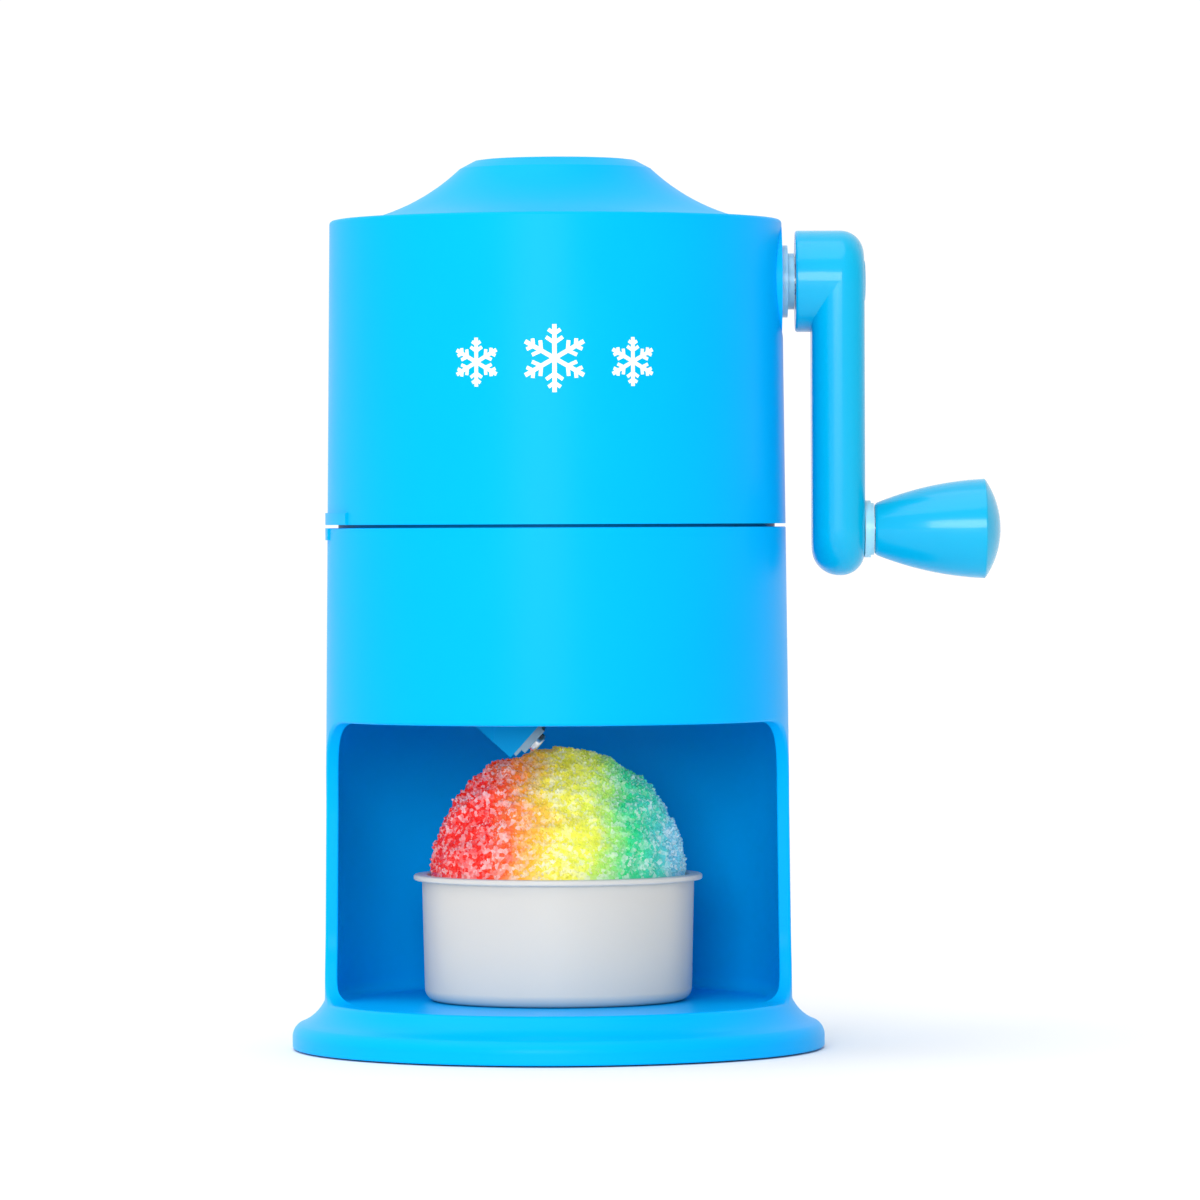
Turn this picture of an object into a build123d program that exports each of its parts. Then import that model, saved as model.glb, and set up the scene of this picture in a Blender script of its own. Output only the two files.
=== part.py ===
from build123d import *
import os
from math import acos, atan2, cos, hypot, pi, radians, sin, sqrt, tan

# A small hand-cranked shaved ice machine, in millimetres.
# Origin: on the body's axis, at the level it stands on.
# +Z is up, -Y is the front with the open bay, +X is the crank's side.
# Ice goes in a chamber inside the base. A sprung press plate in the head holds it down and
# turns it, through a pair of bevel gears and the crank, over a slanted blade above the bay.

os.makedirs("parts", exist_ok=True)

# ------------------------------------------------------------------ casing sizes
BASE_HEIGHT = 164.8  # ground to the middle of the seam
HEAD_HEIGHT = 96.2  # middle of the seam to the rim
BODY_RADIUS = 73.8  # outside radius where the wall meets the foot
BODY_DRAFT = 2.5  # how much the radius falls by the rim
LOWER_WALL = 4.0
UPPER_WALL = 3.0
SEAM_GAP = 1.0
RIM_ROUND = 1.2
DECK = 3.5  # thickness of the head's top

FOOT_FLARE = 10.2  # how far the foot stands out past the wall
FOOT_EDGE = 4.1  # top of the foot's upright edge
FOOT_KNEE_IN = 2.1
FOOT_KNEE_Z = 8.1
FOOT_TOP = 15.5
FOOT_LIFT = 0.5  # the casing's height above the ground
FOOT_SAG = 1.1  # hollow of the foot's slope

BAY_FLOOR = 15.0
FLOOR_THICKNESS = 3.0
BAY_TOP = 103.5
BAY_BACK = 0.5  # the wall is cut away in front of this Y
BAY_TOP_CORNER = 30.0
BAY_LOW_CORNER = 22.0
BAY_INNER_ROUND = 4.0
CEILING_DROP = 1.5  # bay's top edge to the ceiling
CEILING = 2.5

FOOT_RING = (-2.8, 4.7)  # the rubber's inner and outer edge, from the wall's radius
FOOT_RING_DEEP = 2.5
FOOT_HOLLOW_IN = 6.0  # from the wall's radius to the hollow underneath

# ------------------------------------------------------------------ lock marks and keys
MARK_PROUD = 0.7
MARK_HEIGHT = 3.8
UPPER_MARK = (64.0, 104.0)  # degrees from the front, round the left side
LOWER_MARK = (80.0, 104.0)
KEY_WIDTH = 6.0
KEY_REACH = 3.0
KEY_HEIGHT = 9.5
KEY_ANGLES = (90.0, 210.0, 330.0)

# ------------------------------------------------------------------ clearances
RUNNING = 0.05  # radial, on shafts
SEATED = 0.05  # radial, on what is pressed or screwed in
SLIDING = 0.35  # between casings and plates that move apart
END_PLAY = 0.3

# ------------------------------------------------------------------ ice chamber and blade
CHAMBER_SPACE = 22.9  # wall's inside to the chamber
CHAMBER_WALL = 3.0
CHAMBER_FLOOR = 3.0
SPIGOT_RISE = 8.2  # above the seam
SPIGOT_WALL = 3.0
FLANGE_DROP = 10.8  # seam to the underside of the chamber's flange
FLANGE = 3.0
BASE_BOSS_RADIUS = 6.4
HEAD_BOSS_RADIUS = 4.6
BOSS_ANGLES = (45.0, 135.0, 225.0, 315.0)

BLADE_ANGLE = 48.0  # to the chamber's floor
BLADE_LENGTH_SPARE = 1.5  # blade's end to the chamber wall
BLADE_WIDTH = 19.1
BLADE_THICKNESS = 1.0
BLADE_BEVEL = 2.0
BLADE_EDGE = 0.1  # what is left of the thickness at the cutting edge
BLADE_PROUD = 0.4
BLADE_EDGE_X = -0.5
WEDGE_REACH = 20.6  # cutting edge to the wedge's low corner
CLAMP_THICKNESS = 1.4
CLAMP_REACH = (7.5, 16.6)  # from the cutting edge
SLOT_AHEAD = 5.5  # the chute's opening in front of the edge
SLOT_BEHIND = 4.2

# ------------------------------------------------------------------ gears
GEAR_MODULE = 2.0
PINION_TEETH = 16
CROWN_TEETH = 24
GEAR_FACE = 8.0
GEAR_BACKLASH = 0.34
GEAR_ADDENDUM = 0.8  # in modules
GEAR_DEDENDUM = 1.15
PRESSURE_ANGLE = 20.0
SHAFT_DROP = 19.4  # rim to the crank shaft's axis
SHAFT_RADIUS = 5.0
SLEEVE_RADIUS = 9.5
SLEEVE_FLANGE = 13.0
SLEEVE_FLANGE_THICKNESS = 2.6
WASHER = 0.6
CROWN_HUB = (15.5, 11.4)  # radius, and length behind the teeth
CROWN_RECESS = 2.0  # inner end of the teeth to the sleeve's top
PINION_HUB = (9.0, 7.0)
SHAFT_INNER_END = 2.5  # beyond the pinion's inner end
SHAFT_CLIP = (8.5, 1.5)  # radius, thickness
BEARING_LENGTH = 18.0
BEARING_TUBE = 14.5
CARRIER = 4.0
CARRIER_RIM = 2.2  # the plate's edge to the head's wall
CARRIER_GUSSET = (8.0, 4.0)  # its end to the wall, thickness
CARRIER_RIB = (3.0, 5.0, 12.0)  # width, height, end to the wall
CARRIER_RIB_ANGLES = (60, 120, 180, 240, 300)
CARRIER_ABOVE = 8.0  # plate's top below the bearing tube's top
POST_GAP = 0.7  # pinion's hub to the post
POST_LENGTH = 12.0
POST_HALF_WIDTH = 13.0
POST_TOP = 12.4  # above the shaft's axis
POST_BUSH_WALL = 2.6

# ------------------------------------------------------------------ press
SPINDLE = 9.0  # across its flats
SPINDLE_CHAMFER = 0.9
SPINDLE_PLAY = 0.15
PLATE_GAP = 5.0  # chamber floor to the plate at rest
PLATE = 3.0
PLATE_HUB_RADIUS = 12.0
PLATE_HUB = 8.0
PLATE_ROUND = 0.8
PLATE_RIBS = 6
PLATE_RIB = (2.4, 6.0, 3.0)  # width, height, end to the plate's edge
SPIKE_HOLE = 0.7  # depth of a spike's hole, as a share of the plate
SPIKE_RADIUS = 1.6
SPIKE_LENGTH = 3.6
SPIKE_ROWS = ((6, 0.42), (12, 0.82))  # count, and place from the centre to the plate's edge
STOP_RADIUS = 9.0
STOP_HEIGHT = 4.0
STOP_SCREW_HEAD = (6.5, 2.4)
SPRING_RADIUS = 10.6
SPRING_WIRE = 1.8

# ------------------------------------------------------------------ top cap
CAP_HEIGHT = 19.1
CAP_LEDGE = 11.5  # rim to the cap's foot
CAP_TOP_RADIUS = 23.4
CAP_BEVEL = ((25.4, 0.25), (30.2, 2.8))  # radius, and drop from the top
CAP_WALL = 3.0
CAP_SCREW_IN = 14.8  # cap's foot to its screws
CAP_OPENING_IN = 19.6  # cap's foot to the opening in the deck
CAP_SCREW_DEPTH = 2.8
CAP_HOLLOW = 0.066  # hollow of the cap's flare, as a share of its chord
CAP_FOOT_EDGE = 0.3

# ------------------------------------------------------------------ crank
PAD_RADIUS = 18.0
PAD_INSET = 0.3  # the pad's face behind the widest point of the wall
PAD_DEPTH = 9.0
BUSH_WALL = 1.9
BUSH_FLANGE = (11.4, 1.9)  # radius, thickness
BUSH_COLLAR = (8.85, 2.1)
HUB_RADIUS = 16.0
HUB_TO_ARM = 5.0
ARM_THICKNESS = 16.7
ARM_END_RADIUS = 14.6
ARM_INNER_ROUND = 8.6
ARM_OUTER_ROUND = 7.4
HUB_ROUND = 0.8
CRANK_RADIUS = 78.2
ARM_OVER_SHAFT = 7.5  # shaft's end to the arm's outer face
CRANK_SCREW = (2.0, 3.8, 2.4, 14.0)  # shank radius, head radius, head height, length
CRANK_SCREW_WEB = 1.6
PLUG = (6.5, 1.6, 0.4)  # radius, depth in the arm, height above it
KNOB_LENGTH = 35.0
KNOB_SMALL = 8.35
KNOB_MIDDLE = 13.5
KNOB_LARGE = 15.7
KNOB_DOME = 4.7
KNOB_ROUND = 0.7
KNOB_BUSH = ((9.0, 1.9), (8.2, 1.0))  # radius, thickness
KNOB_PIN_RADIUS = 4.0
KNOB_PIN_HEAD = (6.3, 2.5)
KNOB_PIN_IN_ARM = 12.0
KNOB_PIN_BACK = 5.3  # pin's head to the grip's large end

# ------------------------------------------------------------------ cup and ice
PUCK_CLEARANCE = 4.1  # the cup moulds the ice that drops in the chamber
CUP_WALL = 1.6
CUP_HEIGHT = 39.9
CUP_TAPER = 0.9
CUP_RIM = 2.6
CUP_RIM_THICKNESS = 1.8
CUP_CORNER = 6.0
CUP_LIFT = 0.1
HEAP_CLEARANCE = 1.6  # below the blade's wedge

# ------------------------------------------------------------------ screws
SCREW_RADIUS = 1.5
SCREW_HEAD = (2.8, 2.0)
SCREW_SLOT = (3.6, 0.9, 0.9)  # length, width, depth
PILOT_DEPTH = 16.0
BLADE_SCREW_LENGTH = 8.0
BLADE_SCREW_SHARES = (0.22, 0.78)  # places along the blade
SCREW_SPARE = 2.0  # from a screw's end to the bottom of its hole
EDGE_BREAK = 0.6  # small chamfers on shafts and collars

# ------------------------------------------------------------------ levels and radii
RIM = BASE_HEIGHT + HEAD_HEIGHT
LOWER_TOP = BASE_HEIGHT - SEAM_GAP / 2
HEAD_LOW = BASE_HEIGHT + SEAM_GAP / 2
DRAFT_PER_MM = BODY_DRAFT / (RIM - FOOT_TOP)
SHAFT_Z = RIM - SHAFT_DROP


def body_radius(z):
    """Outside radius of the casing at a height."""
    return BODY_RADIUS - (z - FOOT_TOP) * DRAFT_PER_MM


LEDGE = BASE_HEIGHT - FLANGE_DROP
CHAMBER_LOW = BAY_TOP + CEILING_DROP
CHAMBER_DECK = CHAMBER_LOW + CHAMBER_FLOOR
CHAMBER_RADIUS = body_radius(LEDGE) - LOWER_WALL - CHAMBER_SPACE
SPIGOT_RADIUS = body_radius(HEAD_LOW + SPIGOT_RISE) - UPPER_WALL - SLIDING
SOCKET_RADIUS = SPIGOT_RADIUS + SLIDING
BASE_BOSS_RING = SPIGOT_RADIUS - SPIGOT_WALL - SCREW_HEAD[0] - SLIDING
HEAD_BOSS_RING = body_radius(RIM) - UPPER_WALL - HEAD_BOSS_RADIUS + 0.8

PITCH_CONE = GEAR_MODULE * hypot(PINION_TEETH, CROWN_TEETH) / 2
CROWN_ANGLE = atan2(CROWN_TEETH, PINION_TEETH)
PINION_ANGLE = atan2(PINION_TEETH, CROWN_TEETH)
ROOT_DEPTH = GEAR_DEDENDUM * GEAR_MODULE
BACK_DEPTH = ROOT_DEPTH + 0.75 * GEAR_MODULE
INNER_CONE = PITCH_CONE - GEAR_FACE


def on_cone(pitch_angle, distance, depth):
    """(radius, distance along the gear's axis) of a point under a gear's pitch cone."""
    return (
        distance * sin(pitch_angle) - depth * cos(pitch_angle),
        distance * cos(pitch_angle) + depth * sin(pitch_angle),
    )


CROWN_FRONT = on_cone(CROWN_ANGLE, INNER_CONE, ROOT_DEPTH * INNER_CONE / PITCH_CONE)
CROWN_BACK = on_cone(CROWN_ANGLE, PITCH_CONE, BACK_DEPTH)
PINION_FRONT = on_cone(PINION_ANGLE, INNER_CONE, ROOT_DEPTH * INNER_CONE / PITCH_CONE)
PINION_BACK = on_cone(PINION_ANGLE, PITCH_CONE, BACK_DEPTH)
CROWN_FACE = CROWN_FRONT[1] + CROWN_RECESS
CROWN_END = CROWN_BACK[1] + CROWN_HUB[1]
PINION_FACE = PINION_FRONT[1] - 0.7
PINION_END = PINION_BACK[1] + PINION_HUB[1]
SHAFT_START = PINION_FACE - SHAFT_INNER_END
POST_START = PINION_END + POST_GAP
BUSH_RADIUS = SHAFT_RADIUS + RUNNING + POST_BUSH_WALL

SLEEVE_TOP = SHAFT_Z - CROWN_FACE
CROWN_LOW = SHAFT_Z - CROWN_END
TUBE_TOP = CROWN_LOW - END_PLAY
TUBE_LOW = TUBE_TOP - BEARING_LENGTH
CARRIER_TOP = TUBE_TOP - CARRIER_ABOVE
CARRIER_LOW = CARRIER_TOP - CARRIER
SLEEVE_LOW = TUBE_LOW - WASHER - SLEEVE_FLANGE_THICKNESS - END_PLAY / 3

PLATE_LOW = CHAMBER_DECK + PLATE_GAP
PLATE_RADIUS = CHAMBER_RADIUS - 1.8
HUB_TOP = PLATE_LOW + PLATE + PLATE_HUB
STOP_LOW = SLEEVE_TOP + END_PLAY
STOP_TOP = STOP_LOW + STOP_HEIGHT
CAP_SCREW_RING = body_radius(RIM) - CAP_LEDGE - CAP_SCREW_IN

WALL_X = body_radius(SHAFT_Z)
PAD_X = WALL_X - PAD_INSET
HUB_X = PAD_X + BUSH_FLANGE[1] + BUSH_COLLAR[1] + END_PLAY
ARM_X = HUB_X + HUB_TO_ARM
ARM_FACE = ARM_X + ARM_THICKNESS
KNOB_Z = SHAFT_Z - CRANK_RADIUS
KNOB_X = ARM_FACE + KNOB_BUSH[0][1] + KNOB_BUSH[1][1] + END_PLAY
SHAFT_END = ARM_FACE - ARM_OVER_SHAFT
PIN_HEAD_X = KNOB_X + KNOB_LENGTH - KNOB_PIN_BACK

CUP_TOP_RADIUS = CHAMBER_RADIUS - PUCK_CLEARANCE + CUP_WALL
CUP_LOW = BAY_FLOOR + CUP_LIFT
CUP_TOP = CUP_LOW + CUP_HEIGHT

BLADE_START = 2.0  # the blade runs from just in front of the axis towards the front
BLADE_LENGTH = CHAMBER_RADIUS - BLADE_LENGTH_SPARE - BLADE_START
BLADE_SLOPE = radians(BLADE_ANGLE)
# the blade's frame: X runs down from its cutting edge, Y out of its upper face, Z to the front
BLADE_PLANE = Plane(
    origin=(BLADE_EDGE_X, -BLADE_START, CHAMBER_DECK + BLADE_PROUD),
    x_dir=(-cos(BLADE_SLOPE), 0, -sin(BLADE_SLOPE)),
    z_dir=(0, -1, 0),
)


# ------------------------------------------------------------------ helpers
def turned(*edges):
    """Solid turned about Z from edges drawn as (radius, height), its seam at the back."""
    return revolve(Plane.YZ * make_face(Wire(list(edges))), Axis.Z)


def turned_points(*points):
    """Solid turned about Z from the corners of its half section."""
    return turned(*Polyline(*points, close=True).edges())


def ring(inner, outer, low, high):
    """Plain ring about Z."""
    return Pos(0, 0, (low + high) / 2) * (
        Cylinder(outer, high - low) - Cylinder(inner, 2 * (high - low))
    )


def disc(radius, low, high):
    """Plain cylinder about Z between two heights."""
    return Pos(0, 0, (low + high) / 2) * Cylinder(radius, high - low)


def along_x(solid, z):
    """Turn a solid made about Z so that its axis runs along +X at height z."""
    return Pos(0, 0, z) * Rot(0, 90, 0) * solid


def polar(radius, angle):
    """Point at an angle from +X."""
    return radius * cos(radians(angle)), radius * sin(radians(angle))


def screw(length, shank=SCREW_RADIUS - SEATED, head=SCREW_HEAD):
    """Pan-head screw along +Z, its seat at the origin and its head below it."""
    body = disc(shank, 0, length) + disc(head[0], -head[1], 0)
    rim = body.faces().sort_by(Axis.Z)[0].edges()
    body = fillet(rim, head[1] * 0.4)
    reach, width, depth = SCREW_SLOT
    for turn in (0, 90):
        body -= Pos(0, 0, -head[1]) * Rot(0, 0, turn) * Box(reach, width, 2 * depth)
    return body


def at_angles(solid_at, radius, angles):
    """Copies of a solid at polar places, as a list."""
    return [Pos(*polar(radius, a), 0) * solid_at for a in angles]


def merged(base, pieces):
    """Base with every piece joined to it."""
    for piece in pieces:
        base = base + piece
    return base


def sector(inner, outer, start, end, low, high):
    """Part of a ring, its angles counted from the front (-Y) round the left side (-X)."""
    middle = radians(-90 - (start + end) / 2)
    half = radians((end - start) / 2)
    reach = 2 * outer
    wedge = Polyline(
        (0, 0),
        (reach * cos(middle - half), reach * sin(middle - half)),
        (reach * cos(middle + half), reach * sin(middle + half)),
        close=True,
    )
    cutter = Pos(0, 0, low) * extrude(make_face(wedge), high - low)
    return ring(inner, outer, low, high) & cutter


# ------------------------------------------------------------------ base casing
def bay_cutter():
    """What is cut from the casing in front of the bay: a side view run right across."""
    front = -(BODY_RADIUS + FOOT_FLARE + 5)
    low = Line((front, BAY_FLOOR), (BAY_BACK - BAY_LOW_CORNER, BAY_FLOOR))
    low_arc = RadiusArc(low @ 1, (BAY_BACK, BAY_FLOOR + BAY_LOW_CORNER), -BAY_LOW_CORNER)
    back = Line(low_arc @ 1, (BAY_BACK, BAY_TOP - BAY_TOP_CORNER))
    top_arc = RadiusArc(back @ 1, (BAY_BACK - BAY_TOP_CORNER, BAY_TOP), -BAY_TOP_CORNER)
    top = Line(top_arc @ 1, (front, BAY_TOP))
    side = make_face(Wire([low, low_arc, back, top_arc, top, Line(top @ 1, low @ 0)]))
    return extrude(Plane.YZ * side, BODY_RADIUS + 5, both=True)


def casing_shell():
    """Wall, flared foot, bay floor and the step that the ice chamber rests on."""
    foot = BODY_RADIUS + FOOT_FLARE
    knee = (foot - FOOT_KNEE_IN, FOOT_KNEE_Z)
    shoulder = (BODY_RADIUS, FOOT_TOP)
    inside_low = body_radius(BAY_FLOOR) - LOWER_WALL
    ring_in, ring_out = (BODY_RADIUS + edge for edge in FOOT_RING)
    groove_top = FOOT_LIFT + FOOT_RING_DEEP
    hollow = BODY_RADIUS - FOOT_HOLLOW_IN
    upright = Line((foot, FOOT_LIFT), (foot, FOOT_EDGE))
    rounded = TangentArc(upright @ 1, knee, tangent=(0, 1))
    sloped = SagittaArc(knee, shoulder, -FOOT_SAG)
    wall = Polyline(
        shoulder,
        (body_radius(LOWER_TOP), LOWER_TOP),
        (SOCKET_RADIUS, LOWER_TOP),
        (SOCKET_RADIUS, LEDGE),
        (body_radius(LEDGE) - LOWER_WALL, LEDGE),
        (inside_low, BAY_FLOOR + BAY_INNER_ROUND),
    )
    inner = TangentArc(wall @ 1, (inside_low - BAY_INNER_ROUND, BAY_FLOOR), tangent=(0, -1))
    under = Polyline(
        inner @ 1,
        (0, BAY_FLOOR),
        (0, BAY_FLOOR - FLOOR_THICKNESS),
        (hollow, BAY_FLOOR - FLOOR_THICKNESS),
        (hollow, FOOT_LIFT),
        (ring_in, FOOT_LIFT),
        (ring_in, groove_top),
        (ring_out, groove_top),
        (ring_out, FOOT_LIFT),
        (foot, FOOT_LIFT),
    )
    return turned(upright, rounded, sloped, *wall.edges(), inner, *under.edges())


def lower_housing():
    shell = casing_shell() - bay_cutter()
    hole = CHAMBER_RADIUS + CHAMBER_WALL + SLIDING
    wall_middle = body_radius(CHAMBER_LOW) - LOWER_WALL / 2
    shell = shell + ring(hole, wall_middle, CHAMBER_LOW, CHAMBER_LOW + CEILING)
    post = disc(BASE_BOSS_RADIUS, CHAMBER_LOW + CEILING / 2, LEDGE)
    shell = merged(shell, at_angles(post, BASE_BOSS_RING, BOSS_ANGLES))
    pilot = disc(SCREW_RADIUS, LEDGE - PILOT_DEPTH, LEDGE + 1)
    for bore in at_angles(pilot, BASE_BOSS_RING, BOSS_ANGLES):
        shell = shell - bore
    outer = body_radius(LOWER_TOP) + MARK_PROUD
    mark = sector(SOCKET_RADIUS + 1, outer, *LOWER_MARK, LOWER_TOP - MARK_HEIGHT, LOWER_TOP)
    return shell + mark


def foot_ring():
    ring_in, ring_out = (BODY_RADIUS + edge for edge in FOOT_RING)
    return ring(ring_in + SEATED, ring_out - SEATED, 0, FOOT_LIFT + FOOT_RING_DEEP)


# ------------------------------------------------------------------ ice chamber and blade
def blade_bar(reach, depth):
    """Bar in the blade's frame between two reaches and two depths, as long as the blade."""
    low = Align.MIN
    size = (reach[1] - reach[0], depth[1] - depth[0], BLADE_LENGTH)
    return BLADE_PLANE * Pos(reach[0], depth[0], 0) * Box(*size, align=(low, low, low))


def blade_screw_places():
    """Seats of the two blade screws on the clamp, pointing into the wedge."""
    reach = (CLAMP_REACH[0] + CLAMP_REACH[1]) / 2
    top = BLADE_THICKNESS + CLAMP_THICKNESS
    return [
        BLADE_PLANE * Pos(reach, top, share * BLADE_LENGTH) * Rot(90, 0, 0)
        for share in BLADE_SCREW_SHARES
    ]


def drilled_for_blade_screws(solid, radius):
    for place in blade_screw_places():
        solid = solid - place * disc(radius, -1, BLADE_SCREW_LENGTH + 1)
    return solid


def ice_hopper():
    outer = CHAMBER_RADIUS + CHAMBER_WALL
    spigot_top = HEAD_LOW + SPIGOT_RISE
    chamber = turned_points(
        (0, CHAMBER_LOW),
        (outer, CHAMBER_LOW),
        (outer, LEDGE),
        (SPIGOT_RADIUS, LEDGE),
        (SPIGOT_RADIUS, spigot_top),
        (SPIGOT_RADIUS - SPIGOT_WALL, spigot_top),
        (SPIGOT_RADIUS - SPIGOT_WALL, LEDGE + FLANGE),
        (CHAMBER_RADIUS, LEDGE + FLANGE),
        (CHAMBER_RADIUS, CHAMBER_DECK),
        (0, CHAMBER_DECK),
    )
    slot = Box(SLOT_AHEAD + SLOT_BEHIND, BLADE_LENGTH + 2 * SLIDING, 3 * CHAMBER_FLOOR)
    slot_x = BLADE_EDGE_X + (SLOT_AHEAD - SLOT_BEHIND) / 2
    chamber = chamber - Pos(slot_x, -BLADE_START - BLADE_LENGTH / 2, CHAMBER_DECK) * slot
    notch = Pos(SPIGOT_RADIUS, 0, HEAD_LOW + SPIGOT_RISE) * Box(
        3 * SPIGOT_WALL, KEY_WIDTH + 2 * SLIDING, 2 * SPIGOT_RISE
    )
    for angle in KEY_ANGLES:
        chamber = chamber - Rot(0, 0, angle) * notch
    clearance_hole = disc(SCREW_RADIUS + SEATED, LEDGE - 1, LEDGE + FLANGE + 1)
    for bore in at_angles(clearance_hole, BASE_BOSS_RING, BOSS_ANGLES):
        chamber = chamber - bore
    return chamber


def hopper_screws():
    seat = Pos(0, 0, LEDGE + FLANGE) * Rot(180, 0, 0)
    one = seat * screw(FLANGE + PILOT_DEPTH - SCREW_SPARE)
    return Compound(at_angles(one, BASE_BOSS_RING, BOSS_ANGLES))


def blade_wedge():
    """Slanted block under the chamber's floor that the blade is screwed to."""
    block = blade_bar((0, WEDGE_REACH), (-2 * WEDGE_REACH, 0))
    reach = 6 * WEDGE_REACH
    align = (Align.CENTER, Align.CENTER, Align.MAX)
    block = block & Pos(0, 0, CHAMBER_LOW) * Box(reach, reach + 4 * BLADE_LENGTH, reach, align=align)
    block = block & disc(CHAMBER_RADIUS + CHAMBER_WALL - SLIDING, 0, CHAMBER_LOW)
    return drilled_for_blade_screws(block, SCREW_RADIUS)


def blade():
    """Steel blade, ground to an edge on the face away from the wedge."""
    plate = blade_bar((0, BLADE_WIDTH), (0, BLADE_THICKNESS))
    above = 2 * BLADE_THICKNESS
    ground = make_face(
        Polyline(
            (-1, BLADE_EDGE),
            (0, BLADE_EDGE),
            (BLADE_BEVEL, BLADE_THICKNESS),
            (BLADE_BEVEL, above),
            (-1, above),
            close=True,
        )
    )
    plate = plate - BLADE_PLANE * Pos(0, 0, -1) * extrude(ground, BLADE_LENGTH + 2)
    return drilled_for_blade_screws(plate, SCREW_RADIUS + SEATED)


def blade_clamp():
    clamp = blade_bar(CLAMP_REACH, (BLADE_THICKNESS, BLADE_THICKNESS + CLAMP_THICKNESS))
    return drilled_for_blade_screws(clamp, SCREW_RADIUS + SEATED)


def blade_screws():
    return Compound([place * screw(BLADE_SCREW_LENGTH) for place in blade_screw_places()])


# ------------------------------------------------------------------ head casing
def upper_housing():
    top = body_radius(RIM)
    inside_low, inside_top = body_radius(HEAD_LOW) - UPPER_WALL, top - UPPER_WALL
    opening = top - CAP_LEDGE - CAP_OPENING_IN
    outline = Polyline(
        (inside_low, HEAD_LOW),
        (body_radius(HEAD_LOW), HEAD_LOW),
        (top, RIM),
        (opening, RIM),
        (opening, RIM - DECK),
        (inside_top, RIM - DECK),
        close=True,
    )
    section = make_face(outline)
    rim_corner = section.vertices().sort_by_distance((top, RIM))[0]
    shell = revolve(Plane.YZ * fillet(rim_corner, RIM_ROUND), Axis.Z)
    post = disc(HEAD_BOSS_RADIUS, CARRIER_TOP, RIM - DECK / 2)
    shell = merged(shell, at_angles(post, HEAD_BOSS_RING, BOSS_ANGLES))
    pad_inner = PAD_X - PAD_DEPTH
    shell = shell + along_x(disc(PAD_RADIUS, pad_inner, PAD_X), SHAFT_Z)
    shell = shell - along_x(disc(PAD_RADIUS, PAD_X, PAD_X + PAD_DEPTH), SHAFT_Z)
    key = Pos(inside_low, 0, HEAD_LOW) * Box(
        2 * KEY_REACH, KEY_WIDTH, KEY_HEIGHT, align=(Align.CENTER, Align.CENTER, Align.MIN)
    )
    inside = inside_low - KEY_REACH
    wall_band = ring(inside, inside_low + UPPER_WALL / 2, HEAD_LOW, HEAD_LOW + 2 * KEY_HEIGHT)
    for angle in KEY_ANGLES:
        shell = shell + (Rot(0, 0, angle) * key & wall_band)
    outer = body_radius(HEAD_LOW) + MARK_PROUD
    shell = shell + sector(inside_low + 1, outer, *UPPER_MARK, HEAD_LOW, HEAD_LOW + MARK_HEIGHT)
    pilot = disc(SCREW_RADIUS, CARRIER_TOP - 1, CARRIER_TOP + PILOT_DEPTH)
    for bore in at_angles(pilot, HEAD_BOSS_RING, BOSS_ANGLES):
        shell = shell - bore
    cap_hole = disc(SCREW_RADIUS + SEATED, RIM - DECK - 1, RIM + 1)
    for bore in at_angles(cap_hole, CAP_SCREW_RING, KEY_ANGLES):
        shell = shell - bore
    bush_hole = disc(SHAFT_RADIUS + RUNNING + BUSH_WALL + SEATED, pad_inner - 1, PAD_X + 1)
    return shell - along_x(bush_hole, SHAFT_Z)


def top_cap():
    foot = body_radius(RIM) - CAP_LEDGE
    opening = foot - CAP_OPENING_IN
    top = RIM + CAP_HEIGHT
    (edge_in, edge_drop), (edge_out, bevel_drop) = CAP_BEVEL
    crown = Polyline(
        (0, top),
        (CAP_TOP_RADIUS, top),
        (edge_in, top - edge_drop),
        (edge_out, top - bevel_drop),
    )
    run = foot - edge_out
    fall = CAP_HEIGHT - bevel_drop
    flare = SagittaArc(crown @ 1, (foot, RIM + CAP_FOOT_EDGE), -CAP_HOLLOW * hypot(run, fall))
    inner = Polyline(
        (foot, RIM + CAP_FOOT_EDGE),
        (foot, RIM),
        (opening, RIM),
        (opening, RIM + 0.2 * CAP_HEIGHT),
        (edge_out - 1, top - bevel_drop - CAP_WALL - 1),
        (CAP_TOP_RADIUS, top - CAP_WALL),
        (0, top - CAP_WALL),
        (0, top),
    )
    cap = turned(*crown.edges(), *flare.edges(), *inner.edges())
    pilot = disc(SCREW_RADIUS, RIM - 1, RIM + CAP_SCREW_DEPTH)
    for bore in at_angles(pilot, CAP_SCREW_RING, KEY_ANGLES):
        cap = cap - bore
    return cap


def cap_screws():
    seat = Pos(0, 0, RIM - DECK)
    one = seat * screw(DECK + CAP_SCREW_DEPTH - SLIDING)
    return Compound(at_angles(one, CAP_SCREW_RING, KEY_ANGLES))


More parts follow.
